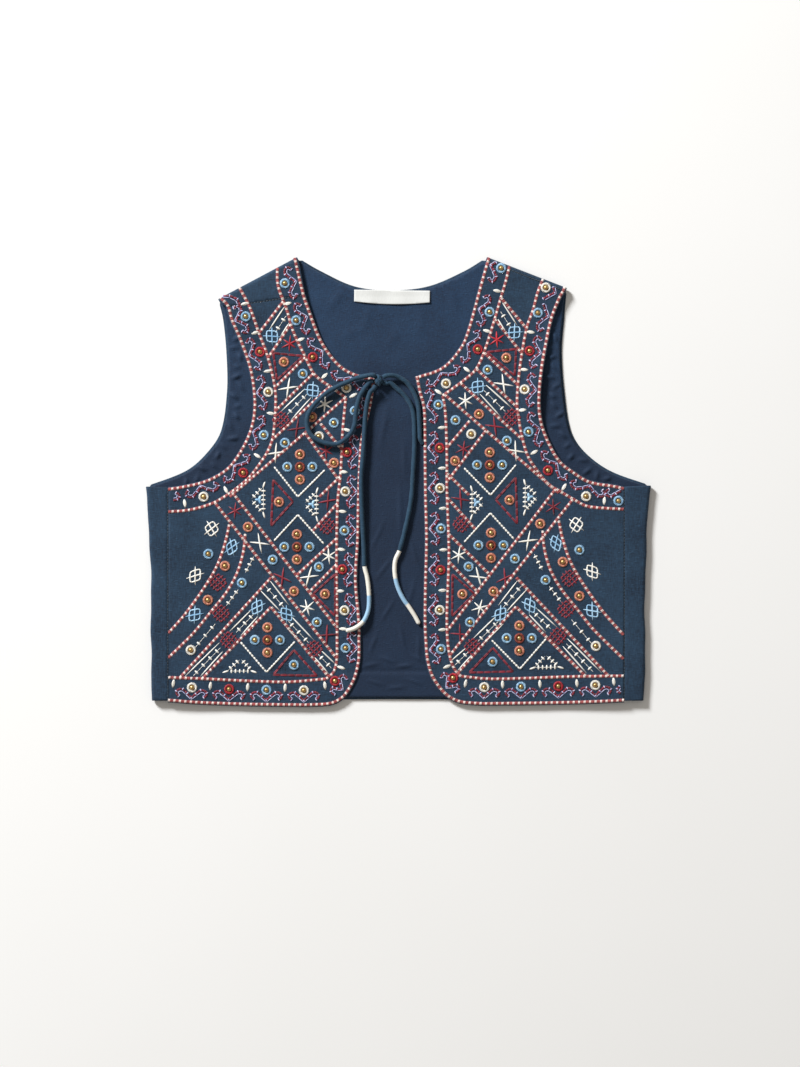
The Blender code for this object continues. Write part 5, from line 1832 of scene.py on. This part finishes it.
def cross(side, thread, centre, turns):
    """Two long stitches that cross."""
    for turn, half in zip(turns, (8.8, 9.2)):
        centred(side, thread, centre, spun(turn), half, 0.0020, 0.0015)


def small_lattice(side, thread, centre, turns):
    """A net of four cells with rounded corners, whose middle lines reach past its edge."""
    ways = [spun(turn) for turn in turns]
    for way, other in (ways, ways[::-1]):
        centred(side, thread, centre, way, 8.2, 0.0018, 0.0017)
        for offset in (-5.2, 5.2):
            centred(side, thread, centre + other * offset * MM, way, 4.2, 0.0017)
    for hand in (-1, 1):
        for other in (-1, 1):
            first = centre + (ways[0] * hand * 5.5 + ways[1] * other * 3.4) * MM
            last = centre + (ways[0] * hand * 3.4 + ways[1] * other * 5.5) * MM
            stroke(side, thread, first, last, 0.0017)


def net(side, centre, turn):
    """A close net of madder thread, knotted where its lines cross."""
    ways = [spun(turn), spun(turn + 90.0)]
    for way, other in (ways, ways[::-1]):
        for offset, half in ((-5.7, 6.2), (-1.9, 8.1), (1.9, 8.1), (5.7, 6.2)):
            middle, reach = centre + other * offset * MM, way * half * MM
            chain(side, "madder", (middle - reach, middle + reach), 0.0033, 0.0017)


def comb(side, corners):
    """A triangle of short bars across its sides, with a small sky-blue heart if it stands upright."""
    is_upright = corners[0][0] == corners[1][0]
    corners = across_front(side, corners)
    centre = corners.mean(axis=0)
    for first, last in zip(corners, np.roll(corners, -1, axis=0)):
        run = np.linalg.norm(last - first)
        along = (last - first) / run
        stroke(side, "cream", first + along * 0.002, last - along * 0.002, 0.0006)
        count = max(3, round(run / COMB_PITCH))
        for number in range(1, count):
            middle = first + along * run * number / count
            centred(side, "cream", middle, quarter_turned(along), 2.1, 0.0020, 0.0015)
    ways = unit(corners - centre)
    for corner, way in zip(corners[:2], ways):
        stroke(side, "cream", corner - way * 0.0012, corner + way * 0.0046, 0.0021, 0.0016)
    if is_upright:
        for way in ways:
            stroke(side, "sky", centre - way * 0.0004, centre + way * 0.0040, 0.0030)


def barred(side, first, last, count, half):
    """A thin line with short thick bars across it, each half long to either side."""
    across = quarter_turned(unit(last - first))
    chain(side, "cream", (first, last), 0.0034, 0.0006, 0.0008)
    for number in range(count):
        middle = first + (last - first) * (number + 0.5) / count
        centred(side, "cream", middle, across, half, 0.0022, 0.0017)


def tram(side, first, last, other_first, other_last, count):
    """Two long lines of thread with a barred line between them."""
    ends = across_front(side, [first, last, other_first, other_last])
    for start, end in (ends[:2], ends[2:]):
        stroke(side, "cream", start, end, 0.0015)
    barred(side, (ends[0] + ends[2]) / 2.0, (ends[1] + ends[3]) / 2.0, count, 2.2)


def mirrored(side, turns):
    """Angles of the right front, or their mirror image for the left."""
    return [180.0 - turn if side > 0 else turn for turn in turns]


# %% Lines that stop at the bands
def middle_of(side):
    """The outline of a front inside its bands."""
    rows = INNER_FRONT[side] + [INNER_ARM[side]]
    return np.vstack([smooth_path(np.array(row) * MM, 0.002) for row in rows])


def reach_band(path, region):
    """Carry the first end of a path on, or cut it back, to where it meets a band."""
    way = unit(path[0] - path[3])
    tries = path[0] + np.arange(-0.0100, 0.0100, 0.0005)[:, None] * way
    inside = is_inside(tries, region)
    leaving = np.flatnonzero(inside[:-1] & ~inside[1:])
    if len(leaving) == 0:
        return path
    stop = tries[leaving[0]]
    kept = path[(path - stop) @ way < -0.0005]
    return np.vstack([stop[None], kept])


def couch_to_bands(side, line, region):
    """A couched line of the middle, ended at the bands where it comes near them."""
    path = reach_band(smooth_path(line, EDGE_STEP), region)
    couch(side, reach_band(path[::-1], region))


# %% Sew the middle of both fronts
def sew_seams(side):
    """The line of small stitches that holds each seam flat."""
    shoulder = SHOULDERS[side]
    across = SIDE_SEAM[side] * side
    chain(side, "slate", (shoulder.seam_neck, shoulder.seam_tip), 0.0030, 0.0011, 0.0009)
    side_seam = ((across, SIDE_TOP_AT_SEAM[side] - 0.001), (across, SIDE_HEM))
    chain(side, "slate", side_seam, 0.0030, 0.0011, 0.0009)


def sew_middle(side):
    """Every line and motif between the bands of one front."""
    region = middle_of(side)
    for line in COUCHED_LINES:
        couch_to_bands(side, across_front(side, line), region)
    for line in OWN_LINES[side]:
        couch_to_bands(side, np.array(line) * MM, region)
    for line in CHAINED_LINES:
        path = across_front(side, line)
        for ends in zip(path, path[1:]):
            chain(side, "cream", ends, 0.0031, 0.0021, 0.0016)
    for corners in RED_TRIANGLES:
        path = across_front(side, corners + corners[:1])
        for first, last in zip(path, path[1:]):
            aside = quarter_turned(unit(last - first)) * 0.0005
            for offset in (-aside, aside):
                chain(side, "madder", (first + offset, last + offset), 0.0070, 0.0013)
    for corners in COMBS:
        comb(side, corners)
    for thread, rows in LATTICES.items():
        for across, up, *turns in rows:
            small_lattice(side, thread, across_front(side, (across, up))[0], mirrored(side, turns))
    for index, centre in enumerate(across_front(side, NETS)):
        net(side, centre, 45.0 + 6.0 * math.sin(index * 2.0))
    for thread, places in STARS.items():
        for index, centre in enumerate(across_front(side, places)):
            star(side, thread, centre, mirrored(side, [86.0 + 9.0 * index])[0])
    for thread, rows in CROSSES.items():
        for across, up, *turns in rows:
            cross(side, thread, across_front(side, (across, up))[0], mirrored(side, turns))
    for thread, places in SINGLE_RINGS.items():
        for centre in across_front(side, places):
            ring(side, thread, centre, centre[0] * 90.0)
    for centre in across_front(side, FIVE_RINGS):
        ring(side, "rust", centre)
        for quarter in range(4):
            thread = "coral" if quarter % 2 else "sky"
            ring(side, thread, centre + spun(90.0 * quarter) * FIVE_ARM * MM)
    for row in TRAMS:
        tram(side, *row)
    for line in BARRED_LINES:
        barred(side, *across_front(side, line), 3, 2.0)


for side in (-1, 1):
    sew_seams(side)
    sew_middle(side)

# %% Turn the layout into thread and beads
SIDE_NAMES = {-1: "right", 1: "left"}
BAR = {"Sides": 4, "Steps": 3, "Bluntness": 2.6, "Overlap": 0.02, "Unevenness": 0.06}
LONG = {"Sides": 5, "Steps": 4, "Bluntness": 3.4, "Overlap": 0.10, "Unevenness": 0.08}
embroidery = {-1: [], 1: []}
for (side, thread), rows in sorted(SEWN.items()):
    settings = dict(BAR if thread in ("brick", "blush") else LONG, Seed=3 + side, Thread=THREADS[thread])
    made = run_tree(f"{SIDE_NAMES[side]}_{thread}", edge_mesh(rows), STITCHES, settings)
    embroidery[side].append(made)
    made.data.calc_loop_triangles()
    print(made.name, sum(len(row) for row in rows), "stitches,", len(made.data.loop_triangles), "triangles")
BEAD_NODES = bead_tree()
for side, centres in BEADS.items():
    places, _ = on_cloth(side, np.array(centres))
    source = bpy.data.meshes.new("bead_places")
    source.from_pydata((places + (0.0, 0.0, BEAD_LIFT)).tolist(), [], [])
    settings = {"Radius": BEAD_RADIUS, "Thread": OLD_BRASS}
    made = run_tree(f"{SIDE_NAMES[side]}_beads", source, BEAD_NODES, settings)
    embroidery[side].append(made)
    print(made.name, len(centres), "beads")

# %% [markdown]
# ## The pieces on the vest
# Each piece rides on the vest's one body and stands for its solid. The sheets' sizes are printed from
# their flat patterns.


# %% Ride, replace, and print the sheets' sizes
def dress(piece, slot, *nodes):
    """Let a piece ride on the vest and stand for its solids."""
    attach(piece, "root")
    if nodes:
        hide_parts(*nodes)


def declare_sheet(piece, pattern):
    """Say how large a panel was cut, from its flat pattern."""
    size = pattern.max(axis=0) - pattern.min(axis=0)
    area = outline_area(pattern)
    print(piece.name, "was cut to", np.round(size, 4), "m,", round(area, 4), "m2")


dress(back_cloth, "outer_cloth", "back_panel")
dress(lining_cloth, "lining_cloth", "back_lining")
dress(fronts[-1], "outer_cloth", "right_front")
dress(fronts[1], "outer_cloth", "left_front")
dress(label_strip, "label_cloth", "neck_label")
dress(knot, "cord_cloth", "tie_knot")
dress(loop, "cord_cloth", "tie_loop")
dress(strand_left, "cord_cloth", "tie_strand_left")
dress(tail_right, "cord_cloth", "tie_tail_right")
dress(tail_left, "cord_cloth", "tie_tail_left")
dress(tip_right, "tip_thread", "tie_tip_right")
dress(tip_left, "tip_thread", "tie_tip_left")
for pieces in embroidery.values():
    for piece in pieces:
        dress(piece, "tip_thread")

declare_sheet(back_cloth, back_pattern)
declare_sheet(lining_cloth, lining_pattern)
declare_sheet(fronts[-1], front_patterns[-1])
declare_sheet(fronts[1], front_patterns[1])
declare_sheet(label_strip, label_pattern)

for piece, path, end, pieces in (
    (tail_right, tail_right_path, "fitting", [tip_right]),
    (tail_left, tail_left_path, "fitting", [tip_left]),
    (loop, loop_path, "object", []),
    (strand_left, strand_path, "object", []),
):
    path_length(path)
    path[::3].tolist() + [path[-1].tolist()]
    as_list(pieces)
